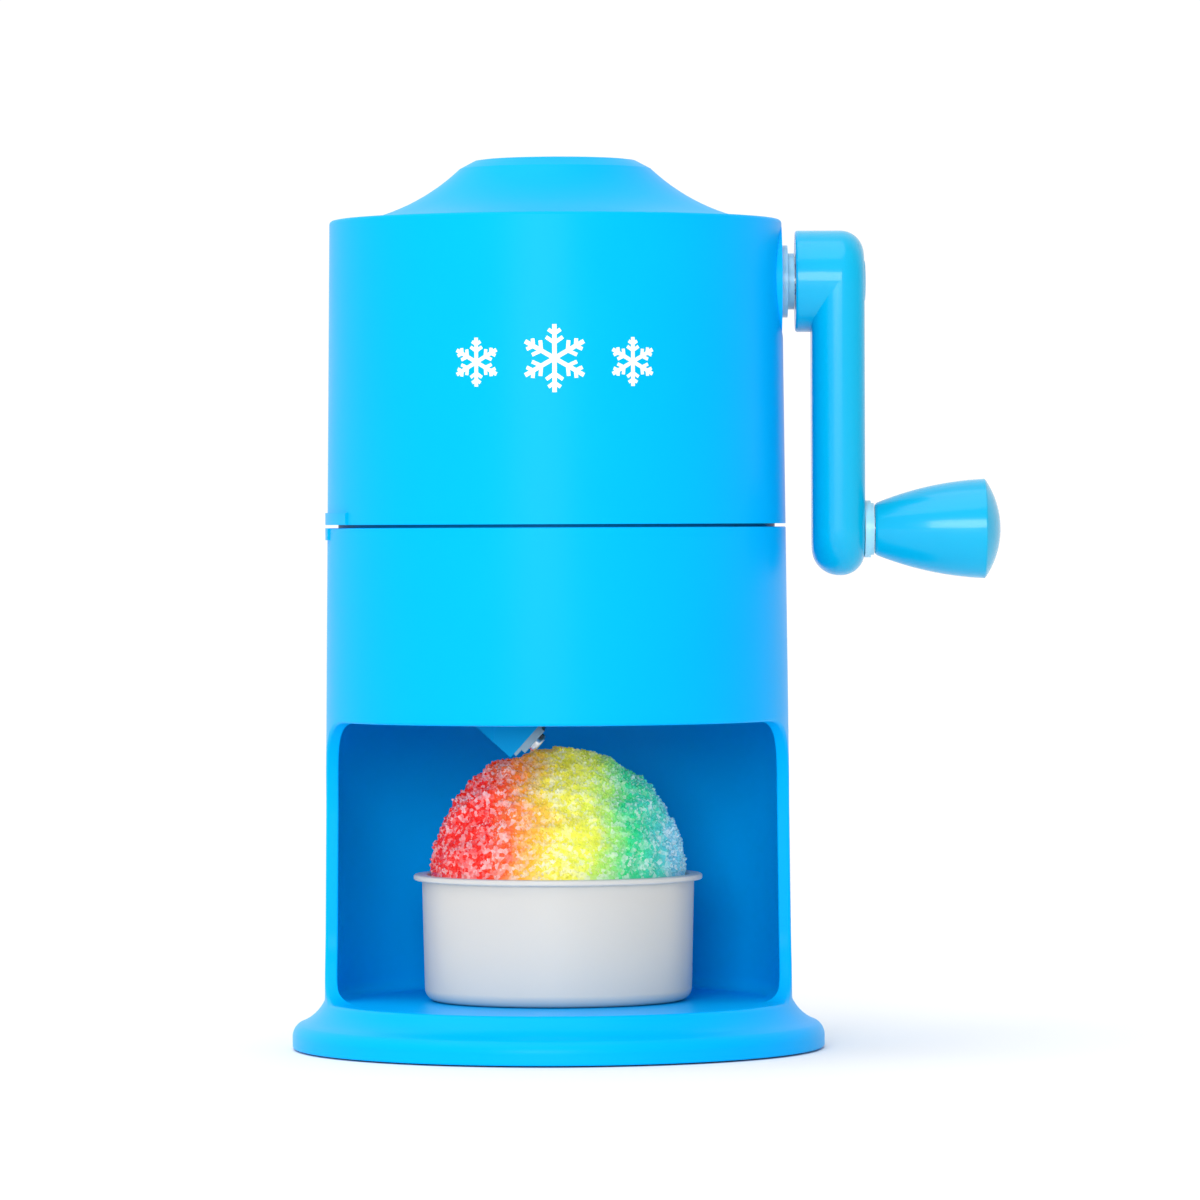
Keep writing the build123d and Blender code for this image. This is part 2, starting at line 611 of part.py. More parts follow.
def gear_carrier():
    """Plate across the head with the drive's bearing tube and the post for the crank shaft."""
    inside = body_radius(CARRIER_LOW) - UPPER_WALL
    plate = disc(inside - CARRIER_RIM, CARRIER_LOW, CARRIER_TOP)
    tube = disc(BEARING_TUBE, TUBE_LOW, TUBE_TOP)
    block = Pos(POST_START + POST_LENGTH / 2, 0, CARRIER_LOW + CARRIER / 2) * Box(
        POST_LENGTH,
        2 * POST_HALF_WIDTH,
        SHAFT_Z + POST_TOP - CARRIER_LOW - CARRIER / 2,
        align=(Align.CENTER, Align.CENTER, Align.MIN),
    )
    block = fillet(block.edges().filter_by(Axis.X).group_by(Axis.Z)[-1], POST_TOP * 0.8)
    gusset_end = inside - CARRIER_GUSSET[0]
    gusset = make_face(
        Polyline(
            (POST_START + POST_LENGTH - 1, CARRIER_TOP - 1),
            (gusset_end, CARRIER_TOP - 1),
            (POST_START + POST_LENGTH - 1, SHAFT_Z - POST_BUSH_WALL - SHAFT_RADIUS - 1),
            close=True,
        )
    )
    gusset = Pos(0, CARRIER_GUSSET[1] / 2, 0) * extrude(Plane.XZ * gusset, CARRIER_GUSSET[1])
    carrier = plate + tube + block + gusset
    width, height, short = CARRIER_RIB
    rib = Pos(BEARING_TUBE - 1, 0, CARRIER_TOP - 1) * Box(
        inside - BEARING_TUBE - short, width, height, align=(Align.MIN, Align.CENTER, Align.MIN)
    )
    carrier = merged(carrier, [Rot(0, 0, angle) * rib for angle in CARRIER_RIB_ANGLES])
    carrier = carrier - disc(SLEEVE_RADIUS + RUNNING, TUBE_LOW - 1, TUBE_TOP + 1)
    bush_hole = disc(BUSH_RADIUS + SEATED, POST_START - 1, POST_START + POST_LENGTH + 1)
    carrier = carrier - along_x(bush_hole, SHAFT_Z)
    clearance_hole = disc(SCREW_RADIUS + SEATED, CARRIER_LOW - 1, CARRIER_TOP + 1)
    for bore in at_angles(clearance_hole, HEAD_BOSS_RING, BOSS_ANGLES):
        carrier = carrier - bore
    return carrier


def carrier_screws():
    seat = Pos(0, 0, CARRIER_LOW)
    one = seat * screw(CARRIER + PILOT_DEPTH - SCREW_SPARE)
    return Compound(at_angles(one, HEAD_BOSS_RING, BOSS_ANGLES))


def shaft_bearing():
    """Bronze bush in the post."""
    bore = SHAFT_RADIUS + RUNNING
    return along_x(ring(bore, BUSH_RADIUS, POST_START, POST_START + POST_LENGTH), SHAFT_Z)


def crank_bush():
    """Stepped plastic bush where the crank's shaft leaves the wall."""
    bore = SHAFT_RADIUS + RUNNING
    flange_radius, flange = BUSH_FLANGE
    collar_radius, collar = BUSH_COLLAR
    body = disc(bore + BUSH_WALL, PAD_X - PAD_DEPTH, PAD_X + 1)
    body = body + disc(flange_radius, PAD_X, PAD_X + flange)
    body = body + disc(collar_radius, PAD_X, PAD_X + flange + collar)
    body = body - disc(bore, PAD_X - PAD_DEPTH - 1, PAD_X + flange + collar + 1)
    return along_x(body, SHAFT_Z)


def thrust_washer():
    return ring(SLEEVE_RADIUS + SLIDING, SLEEVE_FLANGE - 1, TUBE_LOW - WASHER, TUBE_LOW)


# ------------------------------------------------------------------ bevel gears
def bevel_tooth(pitch_angle, teeth, end_radius):
    """One straight bevel tooth; the cones' apex is the origin and the gear's axis is +Z."""
    tilt = sin(pitch_angle), cos(pitch_angle)
    virtual = GEAR_MODULE * teeth / (2 * tilt[1])
    base = virtual * cos(radians(PRESSURE_ANGLE))

    def half_width(height):
        radius = max(virtual + height, base)
        turn = acos(base / radius)
        spread = tan(radians(PRESSURE_ANGLE)) - radians(PRESSURE_ANGLE) - (tan(turn) - turn)
        thickness = pi * GEAR_MODULE / 2 - GEAR_BACKLASH
        return radius * (thickness / (2 * virtual) + spread)

    root = -(GEAR_DEDENDUM + 0.25) * GEAR_MODULE
    heights = [root, -0.5 * GEAR_MODULE, 0, GEAR_ADDENDUM * GEAR_MODULE]
    outline = [(half_width(h), h) for h in heights]
    outline += [(-w, h) for w, h in reversed(outline)]

    def end(distance):
        scale = distance / end_radius
        return [
            Vector(
                distance * tilt[0] + scale * h * tilt[1],
                scale * w,
                distance * tilt[1] - scale * h * tilt[0],
            )
            for w, h in outline
        ]

    return prism_between(end(end_radius), end(end_radius - GEAR_FACE))


def prism_between(first, second):
    """Solid with flat sides between two outlines of the same shape."""
    faces = [Face(Wire.make_polygon(first)), Face(Wire.make_polygon(second))]
    for i in range(len(first)):
        j = (i + 1) % len(first)
        faces.append(Face(Wire.make_polygon([first[i], first[j], second[j], second[i]])))
    return Solid(Shell(faces))


def bevel_gear(teeth, pitch_angle, bore, hub, face, turn):
    """Bevel gear about +Z with its apex at the origin, and its hub away from the apex."""
    front = on_cone(pitch_angle, INNER_CONE, ROOT_DEPTH * INNER_CONE / PITCH_CONE)
    back = on_cone(pitch_angle, PITCH_CONE, BACK_DEPTH)
    hub_radius, hub_length = hub
    end = back[1] + hub_length
    blank = turned_points(
        (bore, face),
        (front[0] - abs(front[1] - face), face),
        front,
        on_cone(pitch_angle, PITCH_CONE, ROOT_DEPTH),
        back,
        (hub_radius, back[1] + 0.4 * (back[0] - hub_radius)),
        (hub_radius, end),
        (bore, end),
    )
    pitch = 360 / teeth
    tooth = bevel_tooth(pitch_angle, teeth, PITCH_CONE)
    return blank.fuse(*[Rot(0, 0, turn + i * pitch) * tooth for i in range(teeth)])


def set_screw(inner, outer, along):
    """Headless screw across a gear's hub, pointing along its own +X."""
    screw_body = Pos(0, 0, inner) * disc(SCREW_RADIUS - SEATED, 0, outer - inner)
    socket = Pos(0, 0, outer) * extrude(RegularPolygon(SCREW_RADIUS * 0.6, 6), 1.2, both=True)
    return Pos(0, 0, along) * Rot(0, 90, 0) * (screw_body - socket)


def set_screw_hole(inner, outer, along):
    return Pos(0, 0, along) * Rot(0, 90, 0) * disc(SCREW_RADIUS, inner - 1, outer + 1)


CROWN_SCREW = (SLEEVE_RADIUS + 2 * SEATED, CROWN_HUB[0] - 0.3, CROWN_END - 0.4 * CROWN_HUB[1])
PINION_SCREW = (SHAFT_RADIUS + 2 * SEATED, PINION_HUB[0] - 0.3, PINION_END - 0.4 * PINION_HUB[1])
DOWN = Pos(0, 0, SHAFT_Z) * Rot(180, 0, 0)


def crown_gear():
    bore = SLEEVE_RADIUS + SEATED
    gear = bevel_gear(CROWN_TEETH, CROWN_ANGLE, bore, CROWN_HUB, CROWN_FACE, 180 / CROWN_TEETH)
    for turn in (90, 270):
        gear = gear - Rot(0, 0, turn) * set_screw_hole(*CROWN_SCREW)
    return DOWN * gear


def gear_screws():
    return Compound([DOWN * Rot(0, 0, turn) * set_screw(*CROWN_SCREW) for turn in (90, 270)])


def pinion_gear():
    gear = bevel_gear(PINION_TEETH, PINION_ANGLE, SHAFT_RADIUS + SEATED, PINION_HUB, PINION_FACE, 0)
    return along_x(gear - set_screw_hole(*PINION_SCREW), SHAFT_Z)


def pinion_screw():
    return along_x(set_screw(*PINION_SCREW), SHAFT_Z)


# ------------------------------------------------------------------ drive and press
def square_bar(side, low, high):
    bar = Pos(0, 0, low) * Box(side, side, high - low, align=(Align.CENTER, Align.CENTER, Align.MIN))
    return chamfer(bar.edges().filter_by(Axis.Z), SPINDLE_CHAMFER)


def drive_sleeve():
    body = disc(SLEEVE_RADIUS, SLEEVE_LOW, SLEEVE_TOP)
    body = body + disc(SLEEVE_FLANGE, SLEEVE_LOW, SLEEVE_LOW + SLEEVE_FLANGE_THICKNESS)
    return body - square_bar(SPINDLE + 2 * SPINDLE_PLAY, SLEEVE_LOW - 1, SLEEVE_TOP + 1)


def press_spring():
    """Plain tube of the spring's outside and inside size."""
    half = SPRING_WIRE / 2
    return ring(SPRING_RADIUS - half, SPRING_RADIUS + half, HUB_TOP + SEATED, SLEEVE_LOW - SEATED)


def spindle():
    bar = square_bar(SPINDLE, PLATE_LOW + 1, STOP_TOP)
    return bar - disc(SCREW_RADIUS, STOP_TOP - PILOT_DEPTH, STOP_TOP + 1)


def spike_places():
    return [
        polar(share * PLATE_RADIUS, 360 * (i + 0.5) / count)
        for count, share in SPIKE_ROWS
        for i in range(count)
    ]


def press_plate():
    plate = disc(PLATE_RADIUS, PLATE_LOW, PLATE_LOW + PLATE)
    plate = fillet(plate.edges(), PLATE_ROUND)
    plate = plate + disc(PLATE_HUB_RADIUS, PLATE_LOW + PLATE / 2, HUB_TOP)
    width, height, short = PLATE_RIB
    length = PLATE_RADIUS - PLATE_HUB_RADIUS - short
    rib = Pos(PLATE_HUB_RADIUS - 1, 0, PLATE_LOW + PLATE / 2) * Box(
        length, width, height, align=(Align.MIN, Align.CENTER, Align.MIN)
    )
    plate = merged(plate, [Rot(0, 0, 360 * i / PLATE_RIBS) * rib for i in range(PLATE_RIBS)])
    plate = plate - square_bar(SPINDLE + 2 * SEATED, PLATE_LOW + 1, HUB_TOP + 1)
    spike_hole = disc(SPIKE_RADIUS + SEATED, PLATE_LOW - 1, PLATE_LOW + PLATE * SPIKE_HOLE)
    for x, y in spike_places():
        plate = plate - Pos(x, y, 0) * spike_hole
    return plate


def press_spikes():
    """Short pointed pins that grip the ice."""
    tip = SPIKE_LENGTH / 2
    top = PLATE_LOW + PLATE * SPIKE_HOLE - SEATED
    spike = turned_points(
        (0, PLATE_LOW - SPIKE_LENGTH),
        (SPIKE_RADIUS, PLATE_LOW - SPIKE_LENGTH + tip),
        (SPIKE_RADIUS, top),
        (0, top),
    )
    return Compound([Pos(x, y, 0) * spike for x, y in spike_places()])


def stop_collar():
    collar = disc(STOP_RADIUS, STOP_LOW, STOP_TOP)
    collar = chamfer(collar.edges(), EDGE_BREAK)
    return collar - square_bar(SPINDLE + 2 * SEATED, STOP_LOW - 1, STOP_TOP + 1)


def stop_screw():
    return Pos(0, 0, STOP_TOP) * Rot(180, 0, 0) * screw(PILOT_DEPTH - SCREW_SPARE, head=STOP_SCREW_HEAD)


# ------------------------------------------------------------------ crank
def crank_shaft():
    shaft = disc(SHAFT_RADIUS, SHAFT_START, SHAFT_END)
    shaft = chamfer(shaft.edges(), EDGE_BREAK)
    screw_hole = disc(CRANK_SCREW[0], SHAFT_END - CRANK_SCREW[3], SHAFT_END + 1)
    return along_x(shaft - screw_hole, SHAFT_Z)


def shaft_clip():
    start = POST_START + POST_LENGTH + END_PLAY
    radius, thickness = SHAFT_CLIP
    return along_x(ring(SHAFT_RADIUS + SEATED, radius, start, start + thickness), SHAFT_Z)


def crank_arm():
    hub_circle = Circle(HUB_RADIUS)
    end_circle = Pos(0, -CRANK_RADIUS) * Circle(ARM_END_RADIUS)
    outline = make_hull(hub_circle.edges() + end_circle.edges())
    arm = extrude(Plane.YZ * outline, ARM_THICKNESS)
    arm = fillet(arm.faces().sort_by(Axis.X)[-1].edges(), ARM_OUTER_ROUND)
    arm = fillet(arm.faces().sort_by(Axis.X)[0].edges(), ARM_INNER_ROUND)
    arm = Pos(ARM_X, 0, SHAFT_Z) * arm
    hub = disc(HUB_RADIUS, HUB_X, ARM_FACE - ARM_OUTER_ROUND)
    hub = fillet(hub.edges().sort_by(Axis.Z)[0], HUB_ROUND)
    arm = arm + along_x(hub, SHAFT_Z)
    arm = arm - along_x(disc(SHAFT_RADIUS + SEATED, HUB_X - 1, SHAFT_END), SHAFT_Z)
    arm = arm - along_x(disc(CRANK_SCREW[0] + SEATED, SHAFT_END - 1, ARM_FACE), SHAFT_Z)
    arm = arm - along_x(disc(PLUG[0], SHAFT_END + CRANK_SCREW_WEB, ARM_FACE + 1), SHAFT_Z)
    pin_hole = disc(KNOB_PIN_RADIUS + SEATED, ARM_FACE - KNOB_PIN_IN_ARM, ARM_FACE + 1)
    return arm - along_x(pin_hole, KNOB_Z)


def crank_screw():
    shank, head, height, length = CRANK_SCREW
    seat = Pos(0, 0, SHAFT_END + CRANK_SCREW_WEB) * Rot(180, 0, 0)
    return along_x(seat * screw(length - 1, shank - SEATED, (head, height)), SHAFT_Z)


def screw_plug():
    radius, depth, proud = PLUG
    plug = disc(radius - SEATED, ARM_FACE - depth, ARM_FACE + proud)
    plug = fillet(plug.edges().sort_by(Axis.Z)[-1], proud * 0.9)
    return along_x(plug, SHAFT_Z)


def knob_pin():
    radius, height = KNOB_PIN_HEAD
    pin = disc(KNOB_PIN_RADIUS, ARM_FACE - KNOB_PIN_IN_ARM, PIN_HEAD_X + height)
    return along_x(pin + disc(radius, PIN_HEAD_X, PIN_HEAD_X + height), KNOB_Z)


def knob_bush():
    (large, first), (small, second) = KNOB_BUSH
    body = disc(large, ARM_FACE, ARM_FACE + first) + disc(small, ARM_FACE, ARM_FACE + first + second)
    return along_x(body - disc(KNOB_PIN_RADIUS + SEATED, ARM_FACE - 1, ARM_FACE + 9), KNOB_Z)


def knob_grip():
    bore = KNOB_PIN_RADIUS + RUNNING
    pocket = KNOB_PIN_HEAD[0] + SLIDING
    pocket_start = KNOB_LENGTH - KNOB_PIN_BACK - END_PLAY
    side = ThreePointArc(
        (KNOB_SMALL, KNOB_ROUND), (KNOB_MIDDLE, KNOB_LENGTH / 2), (KNOB_LARGE, KNOB_LENGTH - KNOB_ROUND / 2)
    )
    rest = Polyline(
        side @ 1,
        (KNOB_LARGE - KNOB_ROUND / 2, KNOB_LENGTH),
        (pocket, KNOB_LENGTH),
        (pocket, pocket_start),
        (bore, pocket_start),
        (bore, 0),
        (KNOB_SMALL - KNOB_ROUND, 0),
        (KNOB_SMALL, KNOB_ROUND),
    )
    return along_x(Pos(0, 0, KNOB_X) * turned(*side.edges(), *rest.edges()), KNOB_Z)


def knob_cap():
    """Domed end that closes the grip over the pin's head."""
    pocket = KNOB_PIN_HEAD[0] + SLIDING - SEATED
    low = KNOB_LENGTH - KNOB_PIN_BACK + KNOB_PIN_HEAD[1] + END_PLAY
    edge = KNOB_LARGE - KNOB_ROUND / 2
    ball = (edge**2 + KNOB_DOME**2) / (2 * KNOB_DOME)
    half = atan2(edge, ball - KNOB_DOME) / 2
    middle = (ball * sin(half), KNOB_LENGTH + KNOB_DOME - ball * (1 - cos(half)))
    dome = ThreePointArc((edge, KNOB_LENGTH), middle, (0, KNOB_LENGTH + KNOB_DOME))
    rest = Polyline(dome @ 1, (0, low), (pocket, low), (pocket, KNOB_LENGTH), (edge, KNOB_LENGTH))
    return along_x(Pos(0, 0, KNOB_X) * turned(*dome.edges(), *rest.edges()), KNOB_Z)


# ------------------------------------------------------------------ cup and ice
def ice_cup():
    """Round plastic cup that moulds the ice and catches the shavings."""
    top = CUP_TOP_RADIUS
    low = top - CUP_TAPER
    rim_low = CUP_TOP - CUP_RIM_THICKNESS
    corner = TangentArc((low - CUP_CORNER, CUP_LOW), (low, CUP_LOW + CUP_CORNER), tangent=(1, 0))
    wall = Polyline(
        corner @ 1,
        (top, rim_low),
        (top + CUP_RIM - 0.4, rim_low),
        (top + CUP_RIM, rim_low + 0.4),
        (top + CUP_RIM, CUP_TOP - 0.6),
        (top + CUP_RIM - 0.6, CUP_TOP),
        (top - CUP_WALL, CUP_TOP),
        (low - CUP_WALL, CUP_LOW + CUP_CORNER),
    )
    inner = TangentArc(wall @ 1, (low - CUP_CORNER, CUP_LOW + CUP_WALL), tangent=(0, -1))
    floor = Polyline(inner @ 1, (0, CUP_LOW + CUP_WALL), (0, CUP_LOW), corner @ 0)
    return turned(*corner.edges(), *wall.edges(), *inner.edges(), *floor.edges())


def shaved_ice():
    """Heaped ice: it fills the cup and domes over it, clear of the blade's wedge."""
    start = CUP_TOP - 2.5
    low = CUP_TOP_RADIUS - CUP_TAPER - CUP_WALL - 2 * SEATED
    wide = CUP_TOP_RADIUS - CUP_WALL - CUP_TAPER * 0.2 - 2 * SEATED
    wedge_x = BLADE_EDGE_X - WEDGE_REACH * cos(BLADE_SLOPE)
    wedge_z = CHAMBER_DECK + BLADE_PROUD - WEDGE_REACH * sin(BLADE_SLOPE)
    height = (wedge_z - HEAP_CLEARANCE - start) / sqrt(1 - (wedge_x / wide) ** 2)
    bottom = CUP_LOW + CUP_WALL + SEATED
    shoulder = (wide * sqrt(0.5), start + height * sqrt(0.5))
    dome = Spline((wide, start), shoulder, (0, start + height), tangents=((0, 1), (-1, 0)))
    rest = Polyline(
        (0, start + height),
        (0, bottom),
        (low - CUP_CORNER, bottom),
        (low, bottom + CUP_CORNER),
        (wide, start),
    )
    return turned(*dome.edges(), *rest.edges())


# ------------------------------------------------------------------ one file for each node
NODES = [
    lower_housing,
    foot_ring,
    ice_hopper,
    hopper_screws,
    blade_wedge,
    blade,
    blade_clamp,
    blade_screws,
    upper_housing,
    top_cap,
    cap_screws,
    gear_carrier,
    carrier_screws,
    shaft_bearing,
    crank_bush,
    thrust_washer,
    crown_gear,
    gear_screws,
    drive_sleeve,
    press_spring,
    spindle,
    press_plate,
    press_spikes,
    stop_collar,
    stop_screw,
    crank_shaft,
    pinion_gear,
    pinion_screw,
    shaft_clip,
    crank_arm,
    crank_screw,
    screw_plug,
    knob_pin,
    knob_bush,
    knob_grip,
    knob_cap,
    ice_cup,
    shaved_ice,
]

for make in NODES:
    export_step(make(), f"parts/{make.__name__}.step")
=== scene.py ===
from math import asin, atan2, cos, hypot, pi, radians, sin, sqrt

import bmesh
import bpy
from mathutils import Matrix, Vector, noise


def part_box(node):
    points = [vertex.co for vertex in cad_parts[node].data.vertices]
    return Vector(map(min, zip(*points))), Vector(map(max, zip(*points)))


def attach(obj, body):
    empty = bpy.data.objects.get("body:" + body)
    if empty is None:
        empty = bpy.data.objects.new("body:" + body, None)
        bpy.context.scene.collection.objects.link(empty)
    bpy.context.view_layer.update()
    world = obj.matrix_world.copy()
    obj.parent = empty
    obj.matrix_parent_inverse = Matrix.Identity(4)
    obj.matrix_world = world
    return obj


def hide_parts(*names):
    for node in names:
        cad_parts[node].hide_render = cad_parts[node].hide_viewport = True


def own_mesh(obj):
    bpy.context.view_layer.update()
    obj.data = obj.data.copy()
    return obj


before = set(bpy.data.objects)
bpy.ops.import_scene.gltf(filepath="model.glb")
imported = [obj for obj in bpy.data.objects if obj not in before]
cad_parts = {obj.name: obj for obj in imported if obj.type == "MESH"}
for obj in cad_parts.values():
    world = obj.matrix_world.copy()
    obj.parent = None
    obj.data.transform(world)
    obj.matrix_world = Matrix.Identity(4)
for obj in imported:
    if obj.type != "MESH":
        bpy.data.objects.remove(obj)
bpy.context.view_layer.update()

bl_info = {
    "name": "Hand-cranked ice shaver",
    "version": (1, 0, 0),
    "blender": (4, 5, 0),
    "location": "3D View > Sidebar > Ice shaver",
    "description": "Moulded casing, frosted cup, syrup ice and finishes for a hand-cranked ice shaver",
    "category": "Object",
}

# ------------------------------------------------------------------ places taken from the frame
BASE_LOW, BASE_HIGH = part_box("lower_housing")
CUP_LOW, CUP_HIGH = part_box("ice_cup")
ICE_LOW, ICE_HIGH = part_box("shaved_ice")
SPRING_LOW, SPRING_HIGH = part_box("press_spring")
WEDGE_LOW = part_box("blade_wedge")[0]

# ------------------------------------------------------------------ base casing, in metres
FOOT_EDGE = 0.0041  # height of the foot's upright edge
KNEE = (0.0819, 0.0081)  # radius and height where the foot turns into its slope
SHOULDER = (0.0738, 0.0155)  # radius and height where the slope meets the body
SLOPE_HOLLOW = 0.0011
BODY_DRAFT = 0.0025 / 0.2455
WALL = 0.004
FLOOR = 0.015
FLOOR_UNDER = 0.012
FLOOR_ROUND = 0.004
BAY_TOP = 0.1035
BAY_BACK = 0.0005  # how far back the bay's cut goes
TOP_CORNER = 0.030
LOW_CORNER = 0.022
CEILING = (0.105, 0.1075)  # underside and top of the step that closes the bay above
CEILING_HOLE = 0.04884
LEDGE = 0.154  # where the ice chamber stands
SOCKET = 0.06919  # radius that the ice chamber fits in
RUBBER_GROOVE = (0.071, 0.0785, 0.003)  # inner and outer radius, depth
HOLLOW = 0.0678  # radius of the hollow under the floor
BOSSES = (45, 135, 225, 315)  # degrees round the axis
BOSS_RING = 0.06269
BOSS_RADIUS = 0.0064
BOSS_HOLE = 0.0015
BOSS_HOLE_DEPTH = 0.016
BOSS_SUNK = 0.001
BOSS_PROUD = 0.00002
BACK_STEPS = 150
FRONT_STEPS = 90
LOCK_MARK = (80, 104)  # degrees from the front round the left side
LOCK_MARK_HEIGHT = 0.0038
LOCK_MARK_PROUD = 0.0007

# ------------------------------------------------------------------ cup, in metres
CUP_RIM = 0.0026  # how far the rim stands out
CUP_RIM_DEEP = 0.0018
CUP_WALL = 0.0016
CUP_TAPER = 0.0009
CUP_CORNER = 0.006
ICE_START = 0.0025  # below the cup's rim


# ------------------------------------------------------------------ settings
class ShaverCasingSettings(bpy.types.PropertyGroup):
    blue: bpy.props.FloatVectorProperty(
        name="Casing blue",
        description="Colour of the moulded casing and cap",
        subtype="COLOR",
        default=(0.0, 0.445, 1.0),
    )
    crank_blue: bpy.props.FloatVectorProperty(
        name="Crank blue",
        description="Colour of the crank arm and the knob",
        subtype="COLOR",
        default=(0.0, 0.42, 0.70),
    )
    # Painted shade: a darker copy of the casing blue, so the wedge and the other inner parts look as dark as
    # the shaded bay.
    chamber_blue: bpy.props.FloatVectorProperty(
        name="Shaded chamber blue",
        description="Colour of the inner mouldings",
        subtype="COLOR",
        default=(0.0, 0.25, 0.50),
    )
    pale_blue: bpy.props.FloatVectorProperty(
        name="Bush blue",
        description="Colour of the translucent bushes",
        subtype="COLOR",
        default=(0.35, 0.70, 0.90),
    )
    edge_round: bpy.props.FloatProperty(
        name="Bay edge round",
        description="Radius along the bay's outer edge",
        unit="LENGTH",
        default=0.0010,
    )
    inner_round: bpy.props.FloatProperty(
        name="Bay inner round",
        description="Radius along the bay's inner edge",
        unit="LENGTH",
        default=0.0006,
    )


class ShaverIceSettings(bpy.types.PropertyGroup):
    chip_spacing: bpy.props.FloatProperty(
        name="Chip spacing",
        description="Least distance between two ice chips",
        unit="LENGTH",
        default=0.00115,
    )
    chip_size: bpy.props.FloatProperty(
        name="Chip size",
        description="Radius of the largest ice chip",
        unit="LENGTH",
        default=0.00095,
    )
    lump_height: bpy.props.FloatProperty(
        name="Lump height",
        description="How far the heap's lumps stand out",
        unit="LENGTH",
        default=0.0030,
    )
    seed: bpy.props.IntProperty(
        name="Seed", description="Seed of the scattered chips", default=7
    )


class ShaverPressSettings(bpy.types.PropertyGroup):
    coils: bpy.props.FloatProperty(
        name="Coils", description="Working turns of the press spring", default=7.0
    )
    wire: bpy.props.FloatProperty(
        name="Wire",
        description="Thickness of the spring's wire",
        unit="LENGTH",
        default=0.0018,
    )


class ShaverMarkSettings(bpy.types.PropertyGroup):
    height: bpy.props.FloatProperty(
        name="Mark height",
        description="Height of the snowflakes' centres",
        unit="LENGTH",
        default=0.2160,
    )
    radius: bpy.props.FloatProperty(
        name="Flake radius",
        description="Radius of the middle snowflake",
        unit="LENGTH",
        default=0.0104,
    )


class ShaverStageSettings(bpy.types.PropertyGroup):
    distance: bpy.props.FloatProperty(
        name="Camera distance",
        description="From the casing's axis",
        unit="LENGTH",
        default=2.21,
    )
    eye_height: bpy.props.FloatProperty(
        name="Camera height", description="Above the floor", unit="LENGTH", default=0.165
    )
    lens: bpy.props.FloatProperty(
        name="Lens", description="Focal length in millimetres", default=210.0
    )
    key: bpy.props.FloatProperty(
        name="Key light", description="Power in watts", default=33.0
    )
    overhead: bpy.props.FloatProperty(
        name="Overhead light", description="Strength of the wide light from above", default=1.35
    )
    sky: bpy.props.FloatProperty(
        name="Sky", description="Strength of the surroundings in front", default=0.62
    )


# ------------------------------------------------------------------ mesh helpers
def placed(name, data):
    """New object, linked to the scene."""
    thing = bpy.data.objects.new(name, data)
    bpy.context.scene.collection.objects.link(thing)
    return thing


def rounded(corners, step=radians(12)):
    """Points of a half section from corners (radius, height, round)."""
    points = []
    for i, corner in enumerate(corners):
        here = Vector(corner[:2])
        size = corner[2] if len(corner) > 2 else 0
        if not size or i in (0, len(corners) - 1):
            points.append(here)
            continue
        back = (Vector(corners[i - 1][:2]) - here).normalized()
        ahead = (Vector(corners[i + 1][:2]) - here).normalized()
        between = back.angle(ahead)
        reach = size / max(1e-6, abs(sin(between / 2) / cos(between / 2)))
        centre = here + (back + ahead).normalized() * size / sin(between / 2)
        start = here + back * reach - centre
        end = here + ahead * reach - centre
        turn = atan2(start.x * end.y - start.y * end.x, start.dot(end))
        count = max(2, round(abs(turn) / step))
        for k in range(count + 1):
            points.append(centre + Matrix.Rotation(turn * k / count, 2) @ start)
    return [(p.x, p.y) for p in points]


def strip(skin, rows, closed=False):
    """Adds quads between rows of points to a skin, which is (points, faces)."""
    points, faces = skin
    first, width = len(points), len(rows[0])
    for row in rows:
        points.extend(row)
    for j in range(len(rows) - 1):
        for i in range(width if closed else width - 1):
            a = first + j * width + i
            b = first + j * width + (i + 1) % width
            faces.append((a, b, b + width, a + width))


def ring_row(radius, height, steps):
    """Points round the axis, evenly spaced."""
    return [
        Vector((radius * cos(2 * pi * i / steps), radius * sin(2 * pi * i / steps), height))
        for i in range(steps)
    ]


def lathe(path, steps=160):
    """Skin turned about Z from a closed half section."""
    skin = ([], [])
    closed = path if path[0][0] < 1e-9 and path[-1][0] < 1e-9 else [*path, path[0]]
    strip(skin, [ring_row(r, z, steps) for r, z in closed], closed=True)
    return skin


def piece_from(name, *skins, sharp=35):
    """Object from skins: welded, closed and facing outwards."""
    points, faces = [], []
    for skin_points, skin_faces in skins:
        first = len(points)
        points.extend(skin_points)
        faces.extend(tuple(first + i for i in face) for face in skin_faces)
    mesh = bpy.data.meshes.new(name)
    mesh.from_pydata(points, [], faces)
    shape = bmesh.new()
    shape.from_mesh(mesh)
    bmesh.ops.remove_doubles(shape, verts=shape.verts, dist=2e-6)
    bmesh.ops.dissolve_degenerate(shape, edges=shape.edges, dist=1e-7)
    bmesh.ops.recalc_face_normals(shape, faces=shape.faces)
    shape.to_mesh(mesh)
    shape.free()
    mesh.shade_smooth()
    mesh.set_sharp_from_angle(angle=radians(sharp))
    return placed(name, mesh)


def settled(piece):
    """Piece with its modifiers turned into plain mesh."""
    depsgraph = bpy.context.evaluated_depsgraph_get()
    mesh = bpy.data.meshes.new_from_object(piece.evaluated_get(depsgraph))
    piece.modifiers.clear()
    piece.data = mesh
    return piece


def even_shading(piece):
    """Flat stretches keep flat shading beside their rounded edges."""
    weighted = piece.modifiers.new("even shading", "WEIGHTED_NORMAL")
    weighted.keep_sharp = True
    weighted.weight = 100
    return settled(piece)


